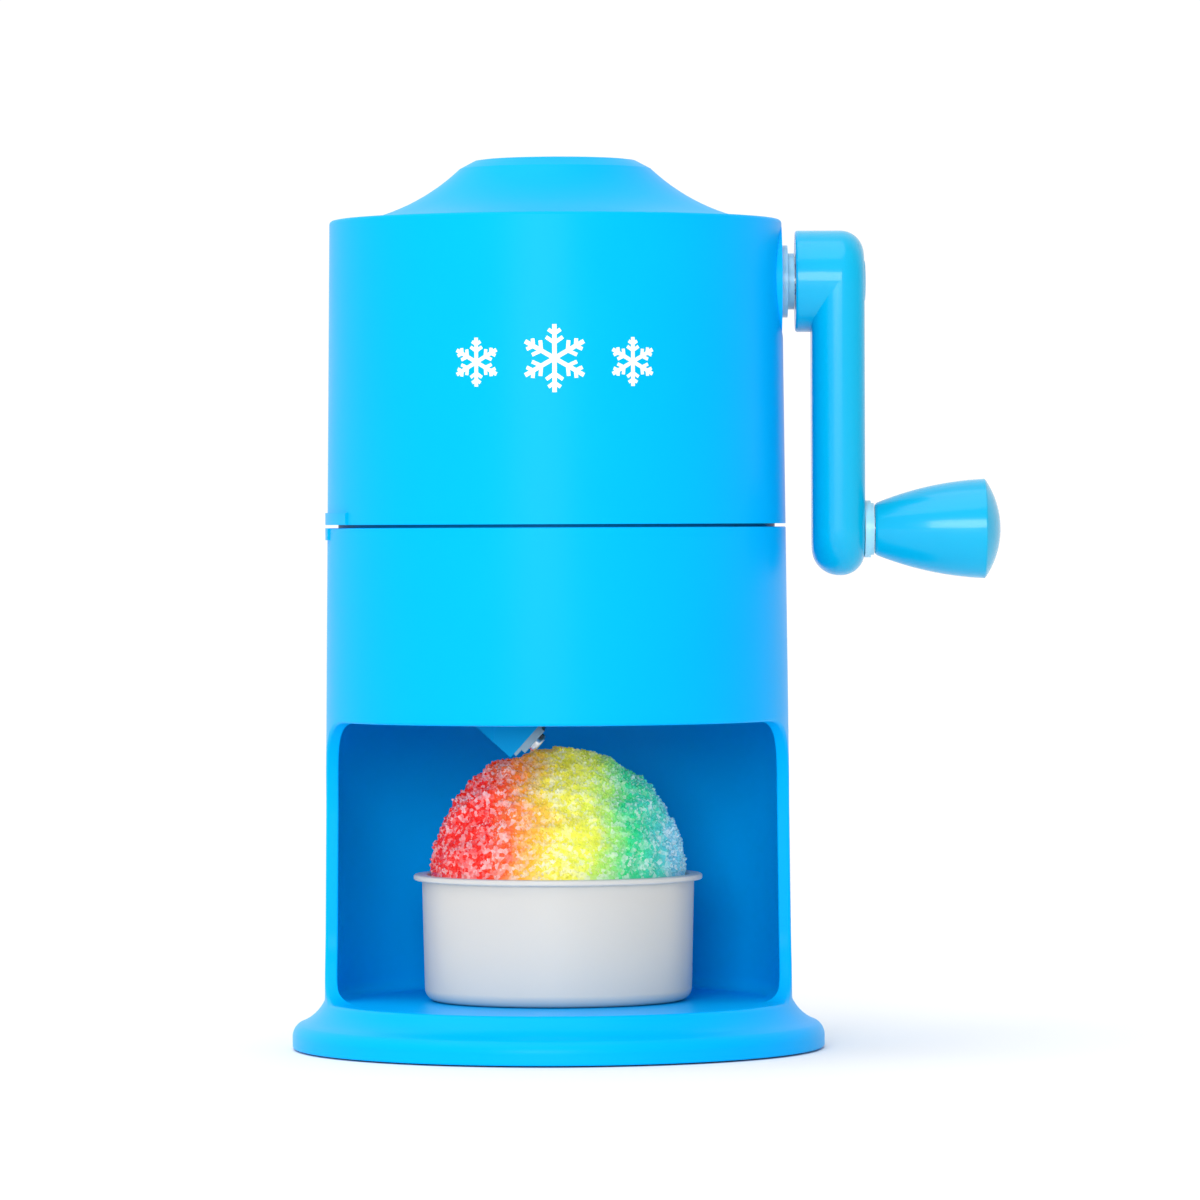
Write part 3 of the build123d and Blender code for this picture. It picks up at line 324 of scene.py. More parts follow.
def arc_block(inner, outer, start, end, low, high, steps=16):
    """Skin of a part of a ring; angles run from the front (-Y) round the left side."""
    rows = []
    for i in range(steps + 1):
        angle = radians(-90 - start - (end - start) * i / steps)
        corners = ((inner, low), (outer, low), (outer, high), (inner, high))
        rows.append([Vector((r * cos(angle), r * sin(angle), z)) for r, z in corners])
    skin = ([], [])
    strip(skin, rows, closed=True)
    skin[1].append((0, 1, 2, 3))
    last = len(skin[0])
    skin[1].append((last - 1, last - 2, last - 3, last - 4))
    return skin


# ------------------------------------------------------------------ node helpers
def link_value(tree, source, target):
    """Sets a socket to a plain value, or links it to another socket."""
    if isinstance(source, bpy.types.NodeSocket):
        tree.links.new(source, target)
    else:
        target.default_value = source


def add_node(tree, kind, settings=(), **inputs):
    """Node with its settings, and its inputs by name (spaces as underscores)."""
    node = tree.nodes.new(kind)
    for name, value in dict(settings).items():
        setattr(node, name, value)
    for name, value in inputs.items():
        link_value(tree, value, node.inputs[name.replace("_", " ")])
    return node


def math_node(tree, operation, *values):
    """Result of a Math node on values or sockets."""
    node = add_node(tree, "ShaderNodeMath", {"operation": operation})
    for socket, value in zip(node.inputs, values):
        link_value(tree, value, socket)
    return node.outputs[0]


def remap(tree, value, low, high, to_low, to_high):
    """Value moved from one range to another, and kept inside it."""
    node = add_node(
        tree,
        "ShaderNodeMapRange",
        Value=value,
        From_Min=low,
        From_Max=high,
        To_Min=to_low,
        To_Max=to_high,
    )
    return node.outputs["Result"]


def new_group(name, inputs, outputs):
    """Shader node group with named float, colour and vector sockets."""
    group = bpy.data.node_groups.new(name, "ShaderNodeTree")
    for label, kind, default in inputs:
        socket = group.interface.new_socket(label, in_out="INPUT", socket_type=kind)
        if default is not None:
            socket.default_value = default
    for label, kind in outputs:
        group.interface.new_socket(label, in_out="OUTPUT", socket_type=kind)
    return group, group.nodes.new("NodeGroupInput").outputs, group.nodes.new("NodeGroupOutput").inputs


FINISH_OUTPUTS = [
    ("Color", "NodeSocketColor"),
    ("Roughness", "NodeSocketFloat"),
    ("Height", "NodeSocketFloat"),
]


def put_finish(group, put, colour, roughness, height):
    """Links a finish group's three results to its outputs."""
    group.links.new(colour, put["Color"])
    group.links.new(roughness, put["Roughness"])
    group.links.new(height, put["Height"])
    return group


def shaded(group, given, mask):
    """The group's colour, lighter and darker with a mask."""
    shade = math_node(group, "SUBTRACT", mask, 0.5)
    value = math_node(group, "MULTIPLY_ADD", shade, given["Shade"], 1.0)
    tone = add_node(group, "ShaderNodeHueSaturation", Color=given["Colour"], Value=value)
    return tone.outputs["Color"]


def moulded_skin_group():
    """Injection-moulded plastic: faint flow marks, fine skin and slight cloudiness."""
    group, given, put = new_group(
        "Moulded Skin",
        [
            ("Vector", "NodeSocketVector", None),
            ("Colour", "NodeSocketColor", (0.5, 0.5, 0.5, 1)),
            ("Cloud Scale", "NodeSocketFloat", 22.0),
            ("Skin Scale", "NodeSocketFloat", 1500.0),
            ("Rough Low", "NodeSocketFloat", 0.25),
            ("Rough High", "NodeSocketFloat", 0.32),
            ("Shade", "NodeSocketFloat", 0.05),
        ],
        FINISH_OUTPUTS,
    )
    cloud = add_node(
        group, "ShaderNodeTexNoise", Vector=given["Vector"], Scale=given["Cloud Scale"], Detail=3.0
    )
    skin = add_node(
        group, "ShaderNodeTexNoise", Vector=given["Vector"], Scale=given["Skin Scale"], Detail=1.5
    )
    orange_peel = add_node(group, "ShaderNodeTexNoise", Vector=given["Vector"], Scale=260.0, Detail=1.0)
    mixed = math_node(group, "MULTIPLY_ADD", skin.outputs["Fac"], 0.3, cloud.outputs["Fac"])
    rough = remap(group, mixed, 0.4, 0.9, given["Rough Low"], given["Rough High"])
    height = math_node(group, "MULTIPLY_ADD", skin.outputs["Fac"], 0.25, orange_peel.outputs["Fac"])
    return put_finish(group, put, shaded(group, given, cloud.outputs["Fac"]), rough, height)


def drawn_metal_group():
    """Turned, ground or drawn metal: fine streaks along one direction."""
    group, given, put = new_group(
        "Drawn Metal",
        [
            ("Vector", "NodeSocketVector", None),
            ("Colour", "NodeSocketColor", (0.6, 0.6, 0.6, 1)),
            ("Stretch", "NodeSocketVector", (40.0, 900.0, 900.0)),
            ("Rough Low", "NodeSocketFloat", 0.2),
            ("Rough High", "NodeSocketFloat", 0.4),
            ("Shade", "NodeSocketFloat", 0.25),
        ],
        FINISH_OUTPUTS,
    )
    stretched = add_node(group, "ShaderNodeVectorMath", {"operation": "MULTIPLY"})
    group.links.new(given["Vector"], stretched.inputs[0])
    group.links.new(given["Stretch"], stretched.inputs[1])
    streaks = add_node(
        group, "ShaderNodeTexNoise", Vector=stretched.outputs["Vector"], Scale=1.0, Detail=4.0
    )
    smears = add_node(group, "ShaderNodeTexNoise", Vector=given["Vector"], Scale=90.0, Detail=2.0)
    both = math_node(group, "MULTIPLY_ADD", smears.outputs["Fac"], 0.5, streaks.outputs["Fac"])
    rough = remap(group, both, 0.5, 1.0, given["Rough Low"], given["Rough High"])
    tone = shaded(group, given, streaks.outputs["Fac"])
    return put_finish(group, put, tone, rough, streaks.outputs["Fac"])


# syrups from left to right: share of the heap's width, colour
SYRUPS = (
    (0.00, (0.85, 0.02, 0.02)),
    (0.24, (1.00, 0.02, 0.01)),
    (0.32, (1.00, 0.15, 0.03)),
    (0.40, (1.00, 0.48, 0.04)),
    (0.50, (0.96, 0.86, 0.08)),
    (0.62, (0.82, 0.90, 0.09)),
    (0.69, (0.42, 0.82, 0.16)),
    (0.77, (0.03, 0.70, 0.24)),
    (0.86, (0.05, 0.62, 0.45)),
    (0.94, (0.12, 0.52, 0.70)),
    (1.00, (0.26, 0.60, 0.76)),
)


def syrup_band_group():
    """Syrups poured side by side over ice, soaked unevenly into one another."""
    group, given, put = new_group(
        "Syrup Bands",
        [
            ("Vector", "NodeSocketVector", None),
            ("Soak", "NodeSocketFloat", 0.016),
            ("Frost", "NodeSocketFloat", 0.65),
        ],
        FINISH_OUTPUTS,
    )
    soak = add_node(group, "ShaderNodeTexNoise", Vector=given["Vector"], Scale=70.0, Detail=4.0)
    crumbs = add_node(group, "ShaderNodeTexNoise", Vector=given["Vector"], Scale=420.0, Detail=3.0)
    grains = add_node(group, "ShaderNodeTexVoronoi", Vector=given["Vector"], Scale=750.0)
    place = add_node(group, "ShaderNodeSeparateXYZ", Vector=given["Vector"])
    drift = math_node(group, "SUBTRACT", soak.outputs["Fac"], 0.5)
    across = math_node(group, "MULTIPLY_ADD", drift, given["Soak"], place.outputs["X"])
    jitter = math_node(group, "SUBTRACT", crumbs.outputs["Fac"], 0.5)
    across = math_node(group, "MULTIPLY_ADD", jitter, 0.006, across)
    share = remap(group, across, ICE_LOW.x, ICE_HIGH.x, 0.0, 1.0)
    ramp = add_node(group, "ShaderNodeValToRGB", Fac=share)
    while len(ramp.color_ramp.elements) < len(SYRUPS):
        ramp.color_ramp.elements.new(0.5)
    for element, (position, colour) in zip(ramp.color_ramp.elements, SYRUPS):
        element.position = position
        element.color = (*colour, 1)
    grain = add_node(group, "ShaderNodeSeparateXYZ", Vector=grains.outputs["Color"])
    frosted = math_node(group, "MULTIPLY_ADD", soak.outputs["Fac"], 0.9, grain.outputs["X"])
    frost = remap(group, frosted, 0.85, 1.7, 0.0, 1.0)
    frost = math_node(group, "MULTIPLY", frost, given["Frost"])
    pale = add_node(group, "ShaderNodeMix", {"data_type": "RGBA"})
    group.links.new(frost, pale.inputs[0])
    group.links.new(ramp.outputs["Color"], pale.inputs[6])
    pale.inputs[7].default_value = (0.95, 0.97, 1.0, 1)
    rough = remap(group, grains.outputs["Distance"], 0.0, 0.8, 0.12, 0.5)
    return put_finish(group, put, pale.outputs[2], rough, grains.outputs["Distance"])


def plain_material(name, group, colour, bump, depth, shader=(), **group_inputs):
    """Material whose colour, roughness and bump come from a group, the rest set on the shader; given an
    Emission Strength, the group's colour also glows as painted light.
    """
    material = bpy.data.materials.new(name)
    material.use_nodes = True
    tree = material.node_tree
    principled = tree.nodes["Principled BSDF"]
    place = add_node(tree, "ShaderNodeTexCoord")
    effect = tree.nodes.new("ShaderNodeGroup")
    effect.node_tree = group
    tree.links.new(place.outputs["Object"], effect.inputs["Vector"])
    if colour is not None:
        effect.inputs["Colour"].default_value = (*colour, 1)
    for label, value in group_inputs.items():
        effect.inputs[label.replace("_", " ")].default_value = value
    relief = add_node(tree, "ShaderNodeBump", Strength=bump, Distance=depth, Height=effect.outputs["Height"])
    tree.links.new(effect.outputs["Color"], principled.inputs["Base Color"])
    tree.links.new(effect.outputs["Roughness"], principled.inputs["Roughness"])
    tree.links.new(relief.outputs["Normal"], principled.inputs["Normal"])
    for label, value in dict(shader).items():
        principled.inputs[label].default_value = value
    # Painted light: the surface glows in the group's colour, though it is no lamp.
    if "Emission Strength" in shader:
        tree.links.new(effect.outputs["Color"], principled.inputs["Emission Color"])
    return material


def milky(weight, *depths):
    """Shader values of a stuff that light soaks into, with its depths in metres."""
    return {"Subsurface Weight": weight, "Subsurface Radius": depths, "Subsurface Scale": 1.0}


def dress(material, *nodes):
    """Gives CAD nodes a material."""
    for name in nodes:
        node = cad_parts[name]
        node.data.materials.clear()
        node.data.materials.append(material)


# ------------------------------------------------------------------ base casing
def slope_radius(height):
    """Outside radius of the foot's hollow slope."""
    start, end = Vector(KNEE), Vector(SHOULDER)
    chord = end - start
    radius = chord.length_squared / (8 * SLOPE_HOLLOW) + SLOPE_HOLLOW / 2
    outward = Vector((chord.y, -chord.x)).normalized()
    centre = (start + end) / 2 + outward * (radius - SLOPE_HOLLOW)
    return centre.x - sqrt(radius**2 - (height - centre.y) ** 2)


def outer_radius(height):
    """Outside radius of the base and the head, which share one taper."""
    if height < SHOULDER[1]:
        return slope_radius(height)
    return SHOULDER[0] - (height - SHOULDER[1]) * BODY_DRAFT


def inner_radius(height):
    """Inside radius of the wall, with the round where it meets the floor."""
    if height >= FLOOR + FLOOR_ROUND:
        return outer_radius(height) - WALL
    rise = FLOOR + FLOOR_ROUND - height
    flat = outer_radius(FLOOR + FLOOR_ROUND) - WALL - FLOOR_ROUND
    return flat + sqrt(max(0, FLOOR_ROUND**2 - rise**2))


def bay_stations():
    """Side view of the bay's edge from the floor up: y, height and the outward direction."""
    stations = []
    for degrees in range(90, -1, -5):
        out = Vector((cos(radians(degrees)), -sin(radians(degrees))))
        centre = Vector((BAY_BACK - LOW_CORNER, FLOOR + LOW_CORNER))
        stations.append((centre + out * LOW_CORNER, out))
    for share in (0.25, 0.5, 0.75):
        low, high = FLOOR + LOW_CORNER, BAY_TOP - TOP_CORNER
        stations.append((Vector((BAY_BACK, low + share * (high - low))), Vector((1, 0))))
    for degrees in range(0, 91, 5):
        out = Vector((cos(radians(degrees)), sin(radians(degrees))))
        centre = Vector((BAY_BACK - TOP_CORNER, BAY_TOP - TOP_CORNER))
        stations.append((centre + out * TOP_CORNER, out))
    return stations


def on_wall(radius_at, point):
    """Point of the wall's right half at (y, height)."""
    y, height = point
    return Vector((sqrt(radius_at(height) ** 2 - y * y), y, height))


def corner_angle(point):
    """Angle round the axis of a point of the bay's edge."""
    return atan2(point.y, point.x)


def back_row(corner):
    """Points round the back from a right-hand corner to its left-hand twin."""
    start, radius = corner_angle(corner), hypot(corner.x, corner.y)
    angles = [start + (pi - 2 * start) * i / BACK_STEPS for i in range(BACK_STEPS + 1)]
    return [Vector((radius * cos(a), radius * sin(a), corner.z)) for a in angles]


def front_row(corner):
    """Points across the front between the two corners, from left to right."""
    start, radius = corner_angle(corner), hypot(corner.x, corner.y)
    angles = [pi - start + (pi + 2 * start) * i / FRONT_STEPS for i in range(1, FRONT_STEPS)]
    return [Vector((radius * cos(a), radius * sin(a), corner.z)) for a in angles]


def whole_rows(path, first, last):
    """Rings along a half section whose corner angle runs from the first to the last."""
    rows = []
    for i, (radius, height) in enumerate(path):
        angle = first + (last - first) * i / (len(path) - 1)
        corner = Vector((radius * cos(angle), radius * sin(angle), height))
        rows.append(back_row(corner) + front_row(corner))
    return rows


def eased(corner, first, second, parts=4):
    """Round between two surfaces that meet at a corner, given a step along each of them."""
    steps = [pi / 2 * i / parts for i in range(parts + 1)]
    return [corner + (1 - sin(s)) * first + (1 - cos(s)) * second for s in steps]


def rim_line(outer, outer_step, inner, inner_step, inner_size, size):
    """Points across the bay's cut face from the outer wall to the inner one."""
    across = (inner - outer).normalized()
    line = eased(outer, outer_step - outer, across * size)
    return line + eased(inner, -across * inner_size, inner_step - inner)


def base_skin(size, inner_full):
    """Casing of the base: wall, flared foot, floor and step, with rounded edges to its bay."""
    skin = ([], [])
    outer_steps, inner_steps, lines, corners = [], [], [], []
    for point, out in bay_stations():
        fade = min(1, max(0, (point.y - FLOOR - FLOOR_ROUND / 2) / FLOOR_ROUND))
        inner_size = inner_full * fade
        outer, inner = on_wall(outer_radius, point), on_wall(inner_radius, point)
        outer_step = on_wall(outer_radius, point + out * size)
        inner_step = on_wall(inner_radius, point + out * inner_size)
        outer_steps.append(outer_step)
        inner_steps.append(inner_step)
        corners.append((outer, inner))
        lines.append(rim_line(outer, outer_step, inner, inner_step, inner_size, size))
    strip(skin, [back_row(step) for step in outer_steps])
    strip(skin, [back_row(step) for step in inner_steps])

    low_outer, low_inner = (front_row(c) for c in corners[0])
    low_outer_step, low_inner_step = front_row(outer_steps[0]), front_row(inner_steps[0])
    high_outer, high_inner = (front_row(c) for c in corners[-1])
    high_outer_step, high_inner_step = front_row(outer_steps[-1]), front_row(inner_steps[-1])
    mirrored = [[Vector((-p.x, p.y, p.z)) for p in line] for line in lines]
    lip = [
        rim_line(*points, 0, size)
        for points in zip(low_outer, low_outer_step, low_inner, low_inner_step)
    ]
    brow = [
        rim_line(*points, inner_full, size)
        for points in zip(high_outer, high_outer_step, high_inner, high_inner_step)
    ]
    loop = lines + brow[::-1] + mirrored[::-1] + lip
    strip(skin, [*loop, loop[0]])

    foot_angle = corner_angle(outer_steps[0])
    slope = [outer_steps[0].z + (KNEE[1] - outer_steps[0].z) * i / 8 for i in range(9)]
    groove_in, groove_out, groove_top = RUBBER_GROOVE
    inset, rise = BASE_HIGH.y - KNEE[0], KNEE[1] - FOOT_EDGE
    knee_round = rise**2 / 2 / inset + inset / 2
    turns = [asin(rise / knee_round) * k / 7 for k in range(6, -1, -1)]
    knee = [
        (BASE_HIGH.y - knee_round * (1 - cos(turn)), FOOT_EDGE + knee_round * sin(turn))
        for turn in turns
    ]
    under = rounded(
        [
            (BASE_HIGH.y, FOOT_EDGE),
            (BASE_HIGH.y, BASE_LOW.z, 0.0006),
            (groove_out, BASE_LOW.z, 0.0003),
            (groove_out, groove_top),
            (groove_in, groove_top),
            (groove_in, BASE_LOW.z, 0.0003),
            (HOLLOW, BASE_LOW.z, 0.0005),
            (HOLLOW, FLOOR_UNDER, 0.0015),
            (0, FLOOR_UNDER),
        ]
    )
    path = [(hypot(outer_steps[0].x, outer_steps[0].y), outer_steps[0].z)]
    path += [(slope_radius(z), z) for z in slope[1:]] + knee + under[1:]
    strip(skin, whole_rows(path, foot_angle, foot_angle), closed=True)

    top, start, end = BASE_HIGH.z, outer_steps[-1], inner_steps[-1]
    over = [
        (hypot(start.x, start.y), start.z),
        (outer_radius(0.12), 0.12),
        (outer_radius(0.14), 0.14),
        (outer_radius(top), top, 0.0004),
        (SOCKET, top, 0.0004),
        (SOCKET, LEDGE, 0.0005),
        (inner_radius(LEDGE), LEDGE, 0.0005),
        (inner_radius(CEILING[1]), CEILING[1], 0.001),
        (CEILING_HOLE, CEILING[1], 0.0004),
        (CEILING_HOLE, CEILING[0], 0.0004),
        (inner_radius(CEILING[0]), CEILING[0], 0.0004),
        (hypot(end.x, end.y), end.z),
    ]
    strip(skin, whole_rows(rounded(over), corner_angle(start), corner_angle(end)), closed=True)

    flat = hypot(inner_steps[0].x, inner_steps[0].y)
    floor = [(flat * share, FLOOR) for share in (1, 0.97, 0.8, 0.5, 0.2, 0)]
    floor_angle = corner_angle(inner_steps[0])
    strip(skin, whole_rows(floor, floor_angle, floor_angle), closed=True)
    return skin


def boss_skin(angle):
    """One screw boss between the ceiling and the ledge, with its pilot hole."""
    low, high = CEILING[0] + BOSS_SUNK, LEDGE + BOSS_PROUD
    path = rounded(
        [
            (0, low),
            (BOSS_RADIUS, low),
            (BOSS_RADIUS, high),
            (BOSS_HOLE, high, 0.0003),
            (BOSS_HOLE, high - BOSS_HOLE_DEPTH),
            (0, high - BOSS_HOLE_DEPTH),
        ]
    )
    points, faces = lathe(path, 32)
    place = Vector((BOSS_RING * cos(radians(angle)), BOSS_RING * sin(radians(angle)), 0))
    return [p + place for p in points], faces


class SHAVER_OT_base_casing(bpy.types.Operator):
    """Make the base casing, with the rounded edges of its bay"""

    bl_idname = "shaver.base_casing"
    bl_label = "Base casing"

    def execute(self, context):
        settings = context.scene.shaver_casing
        top = BASE_HIGH.z
        mark = arc_block(
            SOCKET + 0.001,
            outer_radius(top) + LOCK_MARK_PROUD,
            *LOCK_MARK,
            top - LOCK_MARK_HEIGHT,
            top,
        )
        skins = [base_skin(settings.edge_round, settings.inner_round), mark]
        piece = piece_from("base_casing", *skins, *(boss_skin(angle) for angle in BOSSES))
        piece.data.materials.append(bpy.data.materials["casing_plastic"])
        even_shading(piece)
        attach(piece, "base")
        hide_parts("lower_housing")
        return {"FINISHED"}


# ------------------------------------------------------------------ finishes of the carried-over parts
class SHAVER_OT_finishes(bpy.types.Operator):
    """Give every moulded, turned and ground part its finish"""

    bl_idname = "shaver.finishes"
    bl_label = "Finishes"

    def execute(self, context):
        settings = context.scene.shaver_casing
        skin, metal, bands = moulded_skin_group(), drawn_metal_group(), syrup_band_group()
        casing = plain_material(
            "casing_plastic",
            skin,
            settings.blue,
            0.12,
            0.00006,
            {"Specular IOR Level": 0.2, "IOR": 1.2},
            Rough_Low=0.28,
            Rough_High=0.36,
        )
        dress(casing, "upper_housing", "top_cap")
        crank = plain_material(
            "crank_plastic",
            skin,
            settings.crank_blue,
            0.1,
            0.00005,
            {"Specular IOR Level": 0.4, "IOR": 1.3, "Coat Weight": 0.25, "Coat Roughness": 0.1},
            Rough_Low=0.2,
            Rough_High=0.27,
        )
        dress(crank, "crank_arm", "knob_grip", "knob_cap", "screw_plug")
        # Painted shade: the inner mouldings get a darker copy of the casing blue, standing in for the shade
        # inside the bay.
        chamber = plain_material(
            "shaded_chamber_plastic",
            skin,
            settings.chamber_blue,
            0.15,
            0.00006,
            {"Specular IOR Level": 0.12, "IOR": 1.2},
            Rough_High=0.4,
        )
        dress(chamber, "ice_hopper", "blade_wedge", "gear_carrier")
        pale = plain_material(
            "bush_plastic",
            skin,
            settings.pale_blue,
            0.1,
            0.00005,
            milky(0.4, 0.002, 0.003, 0.004),
        )
        dress(pale, "crank_bush", "knob_bush")
        gear = plain_material(
            "gear_plastic",
            skin,
            (0.78, 0.76, 0.68),
            0.15,
            0.00006,
            milky(0.2, 0.003, 0.002, 0.001),
            Rough_Low=0.35,
            Rough_High=0.5,
        )
        dress(gear, "crown_gear", "pinion_gear", "drive_sleeve", "stop_collar", "thrust_washer")
        press = plain_material(
            "press_plastic", skin, (0.80, 0.83, 0.85), 0.15, 0.00006, {}, Rough_Low=0.3, Rough_High=0.42
        )
        dress(press, "press_plate")
        steel = {"Metallic": 1.0}
        blade = plain_material(
            "blade_steel", metal, (0.11, 0.17, 0.22), 0.02, 0.00001, steel, Rough_Low=0.3, Rough_High=0.45
        )
        dress(blade, "blade", "blade_clamp")
        shaft = plain_material("shaft_steel", metal, (0.55, 0.56, 0.57), 0.15, 0.00002, steel)
        dress(shaft, "crank_shaft", "knob_pin", "spindle", "press_spikes", "shaft_clip")
        screws = plain_material(
            "screw_steel", metal, (0.58, 0.58, 0.60), 0.1, 0.00002, steel, Stretch=(300.0, 300.0, 300.0)
        )
        dress(
            screws,
            "hopper_screws",
            "blade_screws",
            "cap_screws",
            "carrier_screws",
            "gear_screws",
            "pinion_screw",
            "crank_screw",
            "stop_screw",
        )
        bronze = plain_material(
            "bearing_bronze", metal, (0.50, 0.28, 0.10), 0.2, 0.00003, steel, Rough_Low=0.35, Rough_High=0.5
        )
        dress(bronze, "shaft_bearing")
        rubber = plain_material(
            "foot_rubber", skin, (0.02, 0.022, 0.025), 0.3, 0.0001, {}, Rough_Low=0.6, Rough_High=0.8
        )
        dress(rubber, "foot_ring")
        plain_material(
            "spring_steel", metal, (0.42, 0.42, 0.44), 0.1, 0.00002, steel, Stretch=(200.0, 200.0, 60.0)
        )
        plain_material(
            "cup_plastic",
            skin,
            (0.63, 0.61, 0.575),
            0.06,
            0.00005,
            {**milky(0.2, 0.003, 0.003, 0.003), "Specular IOR Level": 0.35},
            Rough_Low=0.3,
            Rough_High=0.38,
            Shade=0.03,
        )
        plain_material(
            "syrup_ice",
            bands,
            None,
            0.5,
            0.0003,
            {
                **milky(0.6, 0.004, 0.004, 0.004),
                "IOR": 1.31,
                "Coat Weight": 0.3,
                "Coat Roughness": 0.1,
                # Painted light: a faint glow in the syrup colours lifts the heap's shaded top.
                "Emission Strength": 0.12,
            },
        )
        plain_material(
            "mark_print", skin, (0.88, 0.92, 0.93), 0.1, 0.00002, {}, Rough_Low=0.4, Rough_High=0.5
        )
        return {"FINISHED"}


# ------------------------------------------------------------------ cup
class SHAVER_OT_cup(bpy.types.Operator):
    """Make the frosted cup with its turned-out rim"""

    bl_idname = "shaver.cup"
    bl_label = "Cup"

    def execute(self, context):
        low, high = CUP_LOW.z, CUP_HIGH.z
        rim = CUP_HIGH.x
        wall = rim - CUP_RIM
        foot = wall - CUP_TAPER
        path = rounded(
            [
                (0, low),
                (foot - 0.010, low),
                (foot, low, CUP_CORNER * 0.65),
                (wall, high - CUP_RIM_DEEP, 0.0005),
                (rim, high - CUP_RIM_DEEP, 0.0006),
                (rim, high, 0.0007),
                (wall - CUP_WALL, high, 0.0006),
                (foot - CUP_WALL, low + CUP_WALL, CUP_CORNER * 0.7),
                (0, low + CUP_WALL),
            ]
        )
        piece = piece_from("cup_shell", lathe(path, 200))
        piece.data.materials.append(bpy.data.materials["cup_plastic"])
        even_shading(piece)
        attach(piece, "cup")
        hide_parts("ice_cup")
        return {"FINISHED"}


# ------------------------------------------------------------------ ice
HEAP_RINGS, HEAP_STEPS = 150, 360
HEAP_LUMPS = ((70, 1.5), (170, 0.9), (420, 0.55))  # waves per metre, share of the lump height
HEAP_CLEARS = (  # up to this place across, the heap's top over the foot of the blade's block
    (WEDGE_LOW.x, 0.0005),
    (-0.0085, -0.0006),
    (-0.0015, 0.0006),
)
HEAP_TOP_ROOM = 0.0008
HEAP_PROUD = 0.45  # share of the lump height where the heap has no dent
HEAP_CALM = (0.001, 0.008)  # the lumps start this far under the rim, and grow over this height
CHIP_STANDS = 0.0003


def ice_ceiling(x):
    """Height the heap keeps under at a place, so that it clears the blade's block and screws."""
    for limit, room in HEAP_CLEARS:
        if x < limit:
            return WEDGE_LOW.z + room
    return ICE_HIGH.z + HEAP_TOP_ROOM


def heap_point(side, turn, reach, start, height, lumps):
    """Point of the heap at an angle from the top and round the axis, with its lumps."""
    out = Vector((sin(side) * cos(turn), sin(side) * sin(turn), cos(side)))
    point = Vector((reach * out.x, reach * out.y, start + height * out.z))
    lump = HEAP_PROUD - sum(abs(noise.noise(point * scale)) * share for scale, share in HEAP_LUMPS)
    clear = min(1, max(0, (point.z - CUP_HIGH.z + HEAP_CALM[0]) / HEAP_CALM[1]))
    point += out * lump * lumps * clear
    point.z = min(point.z, ice_ceiling(point.x))
    return point


def chip_tree(material):
    """Geometry nodes that strew ice chips over the heap above the cup's rim."""
    tree = bpy.data.node_groups.new("Ice Chips", "GeometryNodeTree")
    sockets = {}
    for label, kind in (
        ("Geometry", "NodeSocketGeometry"),
        ("Spacing", "NodeSocketFloat"),
        ("Size", "NodeSocketFloat"),
        ("Rim Height", "NodeSocketFloat"),
        ("Seed", "NodeSocketInt"),
    ):
        sockets[label] = tree.interface.new_socket(label, in_out="INPUT", socket_type=kind).identifier
    tree.interface.new_socket("Geometry", in_out="OUTPUT", socket_type="NodeSocketGeometry")
    given = tree.nodes.new("NodeGroupInput").outputs
    place = add_node(tree, "GeometryNodeInputPosition")
    parts = add_node(tree, "ShaderNodeSeparateXYZ", Vector=place.outputs[0])
    above = math_node(tree, "GREATER_THAN", parts.outputs["Z"], given["Rim Height"])
    spread = add_node(tree, "GeometryNodeDistributePointsOnFaces", {"distribute_method": "POISSON"})
    tree.links.new(given["Geometry"], spread.inputs["Mesh"])
    tree.links.new(above, spread.inputs["Selection"])
    tree.links.new(given["Spacing"], spread.inputs["Distance Min"])
    spread.inputs["Density Max"].default_value = 4e6
    tree.links.new(given["Seed"], spread.inputs["Seed"])
    chip = add_node(tree, "GeometryNodeMeshIcoSphere", Radius=1.0, Subdivisions=1)
    turn = add_node(tree, "FunctionNodeRandomValue", {"data_type": "FLOAT_VECTOR"})
    turn.inputs[1].default_value = (2 * pi, 2 * pi, 2 * pi)
    tree.links.new(given["Seed"], turn.inputs["Seed"])
    size = add_node(tree, "FunctionNodeRandomValue", {"data_type": "FLOAT_VECTOR"})
    size.inputs[0].default_value = (0.35, 0.35, 0.35)
    size.inputs[1].default_value = (1.0, 0.8, 0.6)
    tree.links.new(given["Seed"], size.inputs["Seed"])
    scale = add_node(tree, "ShaderNodeVectorMath", {"operation": "SCALE"})
    tree.links.new(size.outputs[0], scale.inputs[0])
    tree.links.new(given["Size"], scale.inputs["Scale"])
    strewn = add_node(tree, "GeometryNodeInstanceOnPoints")
    tree.links.new(spread.outputs["Points"], strewn.inputs["Points"])
    tree.links.new(chip.outputs["Mesh"], strewn.inputs["Instance"])
    tree.links.new(turn.outputs[0], strewn.inputs["Rotation"])
    tree.links.new(scale.outputs[0], strewn.inputs["Scale"])
    real = add_node(tree, "GeometryNodeRealizeInstances")
    tree.links.new(strewn.outputs["Instances"], real.inputs["Geometry"])
    painted = add_node(tree, "GeometryNodeSetMaterial")
    tree.links.new(real.outputs["Geometry"], painted.inputs["Geometry"])
    painted.inputs["Material"].default_value = material
    out = tree.nodes.new("NodeGroupOutput")
    tree.links.new(painted.outputs["Geometry"], out.inputs["Geometry"])
    return tree, sockets


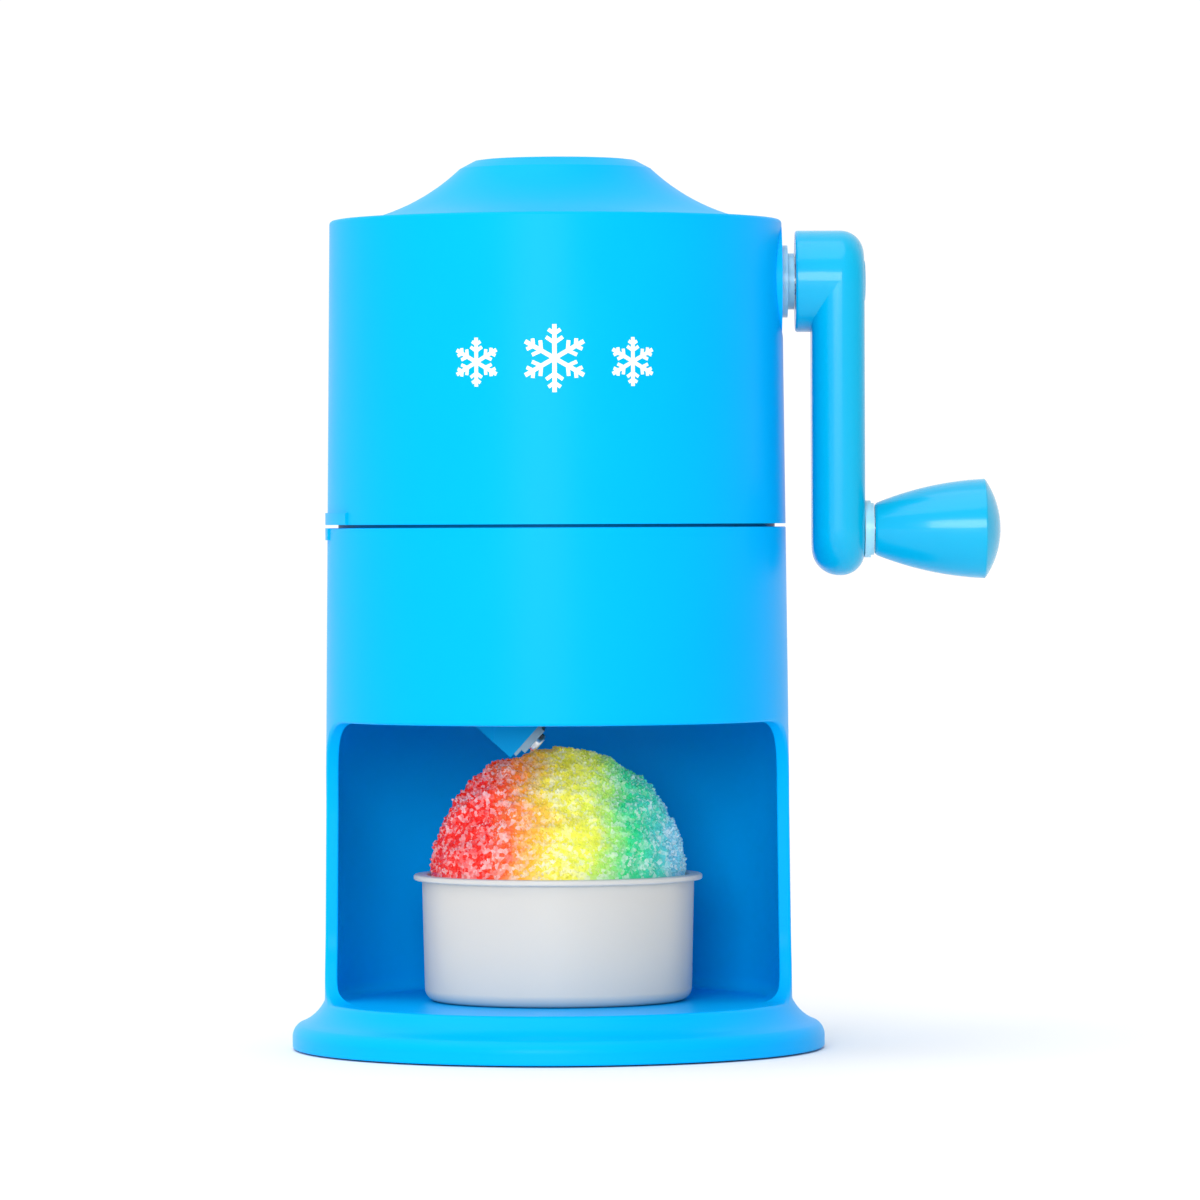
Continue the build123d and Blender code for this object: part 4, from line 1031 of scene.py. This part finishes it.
class SHAVER_OT_ice(bpy.types.Operator):
    """Make the heap of shaved ice and strew its chips"""

    bl_idname = "shaver.ice"
    bl_label = "Shaved ice"

    def execute(self, context):
        settings = context.scene.shaver_ice
        material = bpy.data.materials["syrup_ice"]
        start = CUP_HIGH.z - ICE_START
        reach = ICE_HIGH.x - settings.chip_size
        height = ICE_HIGH.z - start + settings.chip_size
        turns = [2 * pi * k / HEAP_STEPS for k in range(HEAP_STEPS)]
        rows = []
        for i in range(HEAP_RINGS + 1):
            side = pi / 2 * i / HEAP_RINGS
            rows.append(
                [heap_point(side, turn, reach, start, height, settings.lump_height) for turn in turns]
            )
        low = ICE_LOW.z
        foot = reach - 0.0008
        path = rounded([(reach, start), (foot, low + 0.01), (foot, low, CUP_CORNER), (0, low)])
        rows += [ring_row(r, z, HEAP_STEPS) for r, z in path[1:]]
        skin = ([], [])
        strip(skin, rows, closed=True)
        heap = piece_from("ice_heap", skin, sharp=80)
        heap.data.materials.append(material)
        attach(heap, "cup")
        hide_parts("shaved_ice")

        chips = placed("ice_chips", heap.data.copy())
        tree, sockets = chip_tree(material)
        strewing = chips.modifiers.new("ice chips", "NODES")
        strewing.node_group = tree
        strewing[sockets["Spacing"]] = settings.chip_spacing
        strewing[sockets["Size"]] = settings.chip_size
        strewing[sockets["Rim Height"]] = CUP_HIGH.z + 0.0008
        strewing[sockets["Seed"]] = settings.seed
        settled(chips)
        for vertex in chips.data.vertices:
            vertex.co.z = min(vertex.co.z, ice_ceiling(vertex.co.x) + CHIP_STANDS)
        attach(chips, "cup")
        return {"FINISHED"}


# ------------------------------------------------------------------ press spring
def coil_path(turns, low, high, radius, wire, steps=24):
    """Points of a compression spring's wire, with one closed coil at each end."""
    points = []
    total = turns + 2
    pitch = (high - low - wire * 3) / turns
    for i in range(round(total * steps) + 1):
        turn = i / steps
        rise = wire * min(turn, 1) + pitch * min(max(turn - 1, 0), turns) + wire * max(turn - 1 - turns, 0)
        angle = 2 * pi * turn
        points.append(Vector((radius * cos(angle), radius * sin(angle), low + wire / 2 + rise)))
    return points


def wire_tree(material):
    """Geometry nodes that draw round wire along a path."""
    tree = bpy.data.node_groups.new("Spring Wire", "GeometryNodeTree")
    tree.interface.new_socket("Geometry", in_out="INPUT", socket_type="NodeSocketGeometry")
    wire = tree.interface.new_socket("Wire Radius", in_out="INPUT", socket_type="NodeSocketFloat")
    tree.interface.new_socket("Geometry", in_out="OUTPUT", socket_type="NodeSocketGeometry")
    given = tree.nodes.new("NodeGroupInput").outputs
    path = add_node(tree, "GeometryNodeMeshToCurve")
    tree.links.new(given["Geometry"], path.inputs["Mesh"])
    circle = add_node(tree, "GeometryNodeCurvePrimitiveCircle", Resolution=12)
    tree.links.new(given["Wire Radius"], circle.inputs["Radius"])
    drawn = add_node(tree, "GeometryNodeCurveToMesh")
    tree.links.new(path.outputs["Curve"], drawn.inputs["Curve"])
    tree.links.new(circle.outputs["Curve"], drawn.inputs["Profile Curve"])
    drawn.inputs["Fill Caps"].default_value = True
    real = add_node(tree, "GeometryNodeRealizeInstances")
    tree.links.new(drawn.outputs["Mesh"], real.inputs["Geometry"])
    painted = add_node(tree, "GeometryNodeSetMaterial")
    tree.links.new(real.outputs["Geometry"], painted.inputs["Geometry"])
    painted.inputs["Material"].default_value = material
    out = tree.nodes.new("NodeGroupOutput")
    tree.links.new(painted.outputs["Geometry"], out.inputs["Geometry"])
    return tree, wire.identifier


class SHAVER_OT_press_spring(bpy.types.Operator):
    """Wind the press spring between the sleeve and the press plate"""

    bl_idname = "shaver.press_spring"
    bl_label = "Press spring"

    def execute(self, context):
        settings = context.scene.shaver_press
        low, high = SPRING_LOW.z, SPRING_HIGH.z
        radius = SPRING_HIGH.x - settings.wire / 2
        points = coil_path(settings.coils, low, high, radius, settings.wire)
        mesh = bpy.data.meshes.new("press_coil")
        mesh.from_pydata(points, [(i, i + 1) for i in range(len(points) - 1)], [])
        piece = placed("press_coil", mesh)
        tree, wire = wire_tree(bpy.data.materials["spring_steel"])
        winding = piece.modifiers.new("spring wire", "NODES")
        winding.node_group = tree
        winding[wire] = settings.wire / 2
        settled(piece)
        piece.data.shade_smooth()
        piece.data.set_sharp_from_angle(angle=radians(50))
        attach(piece, "drive")
        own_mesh(piece)
        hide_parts("press_spring")
        return {"FINISHED"}


# ------------------------------------------------------------------ printed mark
PRINT_THICK = 0.00004


def bar_skin(start, end, width, steps=3):
    """Flat bar between two points of the print, as a thin box: (across, up, depth)."""
    along = (end - start).normalized()
    side = Vector((-along.y, along.x)) * width / 2
    rows = []
    for i in range(steps + 1):
        middle = start + (end - start) * i / steps
        a, b = middle - side, middle + side
        corners = ((a, -1), (b, -1), (b, 1), (a, 1))
        rows.append([Vector((place.x, place.y, depth)) for place, depth in corners])
    skin = ([], [])
    strip(skin, rows, closed=True)
    last = len(skin[0])
    skin[1].extend([(0, 1, 2, 3), (last - 1, last - 2, last - 3, last - 4)])
    return skin


def flake_skins(centre, radius, width):
    """Six-armed snow crystal with two pairs of barbs on each arm."""
    skins = []
    for arm in range(6):
        turn = Matrix.Rotation(radians(60 * arm + 30), 2)
        skins.append(bar_skin(centre, centre + turn @ Vector((radius, 0)), width))
        for share, length in ((0.45, 0.30), (0.72, 0.22)):
            root = centre + turn @ Vector((radius * share, 0))
            for lean in (-55, 55):
                tip = turn @ Matrix.Rotation(radians(lean), 2) @ Vector((radius * length, 0))
                skins.append(bar_skin(root, root + tip, width * 0.85))
    return skins


def on_head(point):
    """Place on the head's wall of a point of the flat print."""
    across, up, depth = point
    distance = outer_radius(up) + PRINT_THICK / 2 * (1 + 2 * depth)
    angle = across / distance
    return Vector((distance * sin(angle), -distance * cos(angle), up))


class SHAVER_OT_mark(bpy.types.Operator):
    """Print three plain snow crystals on the front of the head"""

    bl_idname = "shaver.mark"
    bl_label = "Printed mark"

    def execute(self, context):
        settings = context.scene.shaver_mark
        radius = settings.radius
        flakes = ((0.0, 0.0, 1.0), (-2.35, -0.1, 0.72), (2.35, -0.1, 0.72))
        skins = []
        for across, up, size in flakes:
            centre = Vector((across * radius, settings.height + up * radius))
            skins += flake_skins(centre, radius * size, radius * 0.13 * (0.6 + 0.4 * size))
        bent = [([on_head(point) for point in points], faces) for points, faces in skins]
        piece = piece_from("snow_mark", *bent)
        piece.data.materials.append(bpy.data.materials["mark_print"])
        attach(piece, "head")
        return {"FINISHED"}


# ------------------------------------------------------------------ stage
FLOOR_REACH = 8.0
CAMERA_ACROSS = 0.0136
CAMERA_DROP = 0.0237  # how far the camera looks down at the casing's axis
CAMERA_ROLL = -0.23  # degrees


def stage_material(name, shade, rough):
    """Plain painted surface with a faint unevenness."""
    material = bpy.data.materials.new(name)
    material.use_nodes = True
    tree = material.node_tree
    principled = tree.nodes["Principled BSDF"]
    place = add_node(tree, "ShaderNodeTexCoord")
    cloud = add_node(tree, "ShaderNodeTexNoise", Vector=place.outputs["Object"], Scale=3.0, Detail=2.0)
    tone = remap(tree, cloud.outputs["Fac"], 0.3, 0.7, shade * 0.985, shade)
    tree.links.new(tone, principled.inputs["Base Color"])
    principled.inputs["Roughness"].default_value = rough
    principled.inputs["Specular IOR Level"].default_value = 0.1
    return material


def soft_light(name, place, aim, size, power):
    """Large rectangular light that points at a place."""
    data = bpy.data.lights.new(name, "AREA")
    data.shape = "RECTANGLE"
    data.size, data.size_y = size
    data.energy = power
    light = placed(name, data)
    light.location = place
    light.rotation_euler = (Vector(aim) - Vector(place)).to_track_quat("-Z", "Y").to_euler()


class SHAVER_OT_stage(bpy.types.Operator):
    """Set the pale floor, the soft lights and the camera"""

    bl_idname = "shaver.stage"
    bl_label = "Stage"

    def execute(self, context):
        settings = context.scene.shaver_stage
        mesh = bpy.data.meshes.new("floor")
        corners = [(x * FLOOR_REACH, y * FLOOR_REACH, 0) for x, y in ((-1, -1), (1, -1), (1, 1), (-1, 1))]
        mesh.from_pydata(corners, [], [(0, 1, 2, 3)])
        floor = placed("floor", mesh)
        floor.data.materials.append(stage_material("floor_paint", 0.93, 0.8))

        world = bpy.data.worlds.new("surroundings")
        context.scene.world = world
        world.use_nodes = True
        tree = world.node_tree
        background = tree.nodes["Background"]
        place = add_node(tree, "ShaderNodeTexCoord")
        away = add_node(tree, "ShaderNodeSeparateXYZ", Vector=place.outputs["Generated"])
        dim = remap(tree, away.outputs["X"], 0.0, 1.0, settings.sky, settings.sky * 0.6)
        strength = remap(tree, away.outputs["Y"], 0.0, 0.6, dim, 1.05)
        tree.links.new(strength, background.inputs["Strength"])
        background.inputs["Color"].default_value = (1, 1, 1, 1)

        middle = (0.0, 0, 0.14)
        soft_light("key", (-0.35, -2.6, 0.7), middle, (1.2, 0.9), settings.key)
        data = bpy.data.lights.new("overhead", "SUN")
        data.energy = settings.overhead
        data.angle = radians(60)
        overhead = placed("overhead", data)
        overhead.rotation_euler = Vector((-0.25, -0.25, 1.0)).to_track_quat("Z", "Y").to_euler()

        data = bpy.data.cameras.new("camera")
        data.lens = settings.lens
        data.sensor_width = 36
        data.clip_start = 0.05
        camera = placed("camera", data)
        camera.location = (CAMERA_ACROSS, -settings.distance, settings.eye_height)
        aim = Vector((CAMERA_ACROSS, 0, settings.eye_height - CAMERA_DROP))
        look = aim - camera.location
        tilt = look.to_track_quat("-Z", "Y").to_matrix()
        camera.rotation_euler = (tilt @ Matrix.Rotation(radians(CAMERA_ROLL), 3, "Z")).to_euler()
        context.scene.camera = camera
        context.scene.view_settings.view_transform = "Standard"
        return {"FINISHED"}


# ------------------------------------------------------------------ add-on parts
OPERATORS = (
    SHAVER_OT_finishes,
    SHAVER_OT_stage,
    SHAVER_OT_base_casing,
    SHAVER_OT_cup,
    SHAVER_OT_ice,
    SHAVER_OT_press_spring,
    SHAVER_OT_mark,
)
SETTINGS = {
    "shaver_casing": ShaverCasingSettings,
    "shaver_ice": ShaverIceSettings,
    "shaver_press": ShaverPressSettings,
    "shaver_mark": ShaverMarkSettings,
    "shaver_stage": ShaverStageSettings,
}


class SHAVER_PT_panel(bpy.types.Panel):
    """Lists the ice shaver's pieces and their sizes"""

    bl_idname = "SHAVER_PT_panel"
    bl_label = "Ice shaver"
    bl_space_type = "VIEW_3D"
    bl_region_type = "UI"
    bl_category = "Ice shaver"

    def draw(self, context):
        for operator in OPERATORS:
            self.layout.operator(operator.bl_idname)
        for name, group in SETTINGS.items():
            box = self.layout.box()
            for label in group.__annotations__:
                box.prop(getattr(context.scene, name), label)


def register():
    for group in SETTINGS.values():
        bpy.utils.register_class(group)
    for operator in (*OPERATORS, SHAVER_PT_panel):
        bpy.utils.register_class(operator)
    for name, group in SETTINGS.items():
        setattr(bpy.types.Scene, name, bpy.props.PointerProperty(type=group))


def unregister():
    for name in SETTINGS:
        delattr(bpy.types.Scene, name)
    for operator in (SHAVER_PT_panel, *OPERATORS, *SETTINGS.values()):
        bpy.utils.unregister_class(operator)


def main():
    register()
    for operator in OPERATORS:
        area, label = operator.bl_idname.split(".")
        getattr(getattr(bpy.ops, area), label)()


if __name__ == "__main__":
    main()
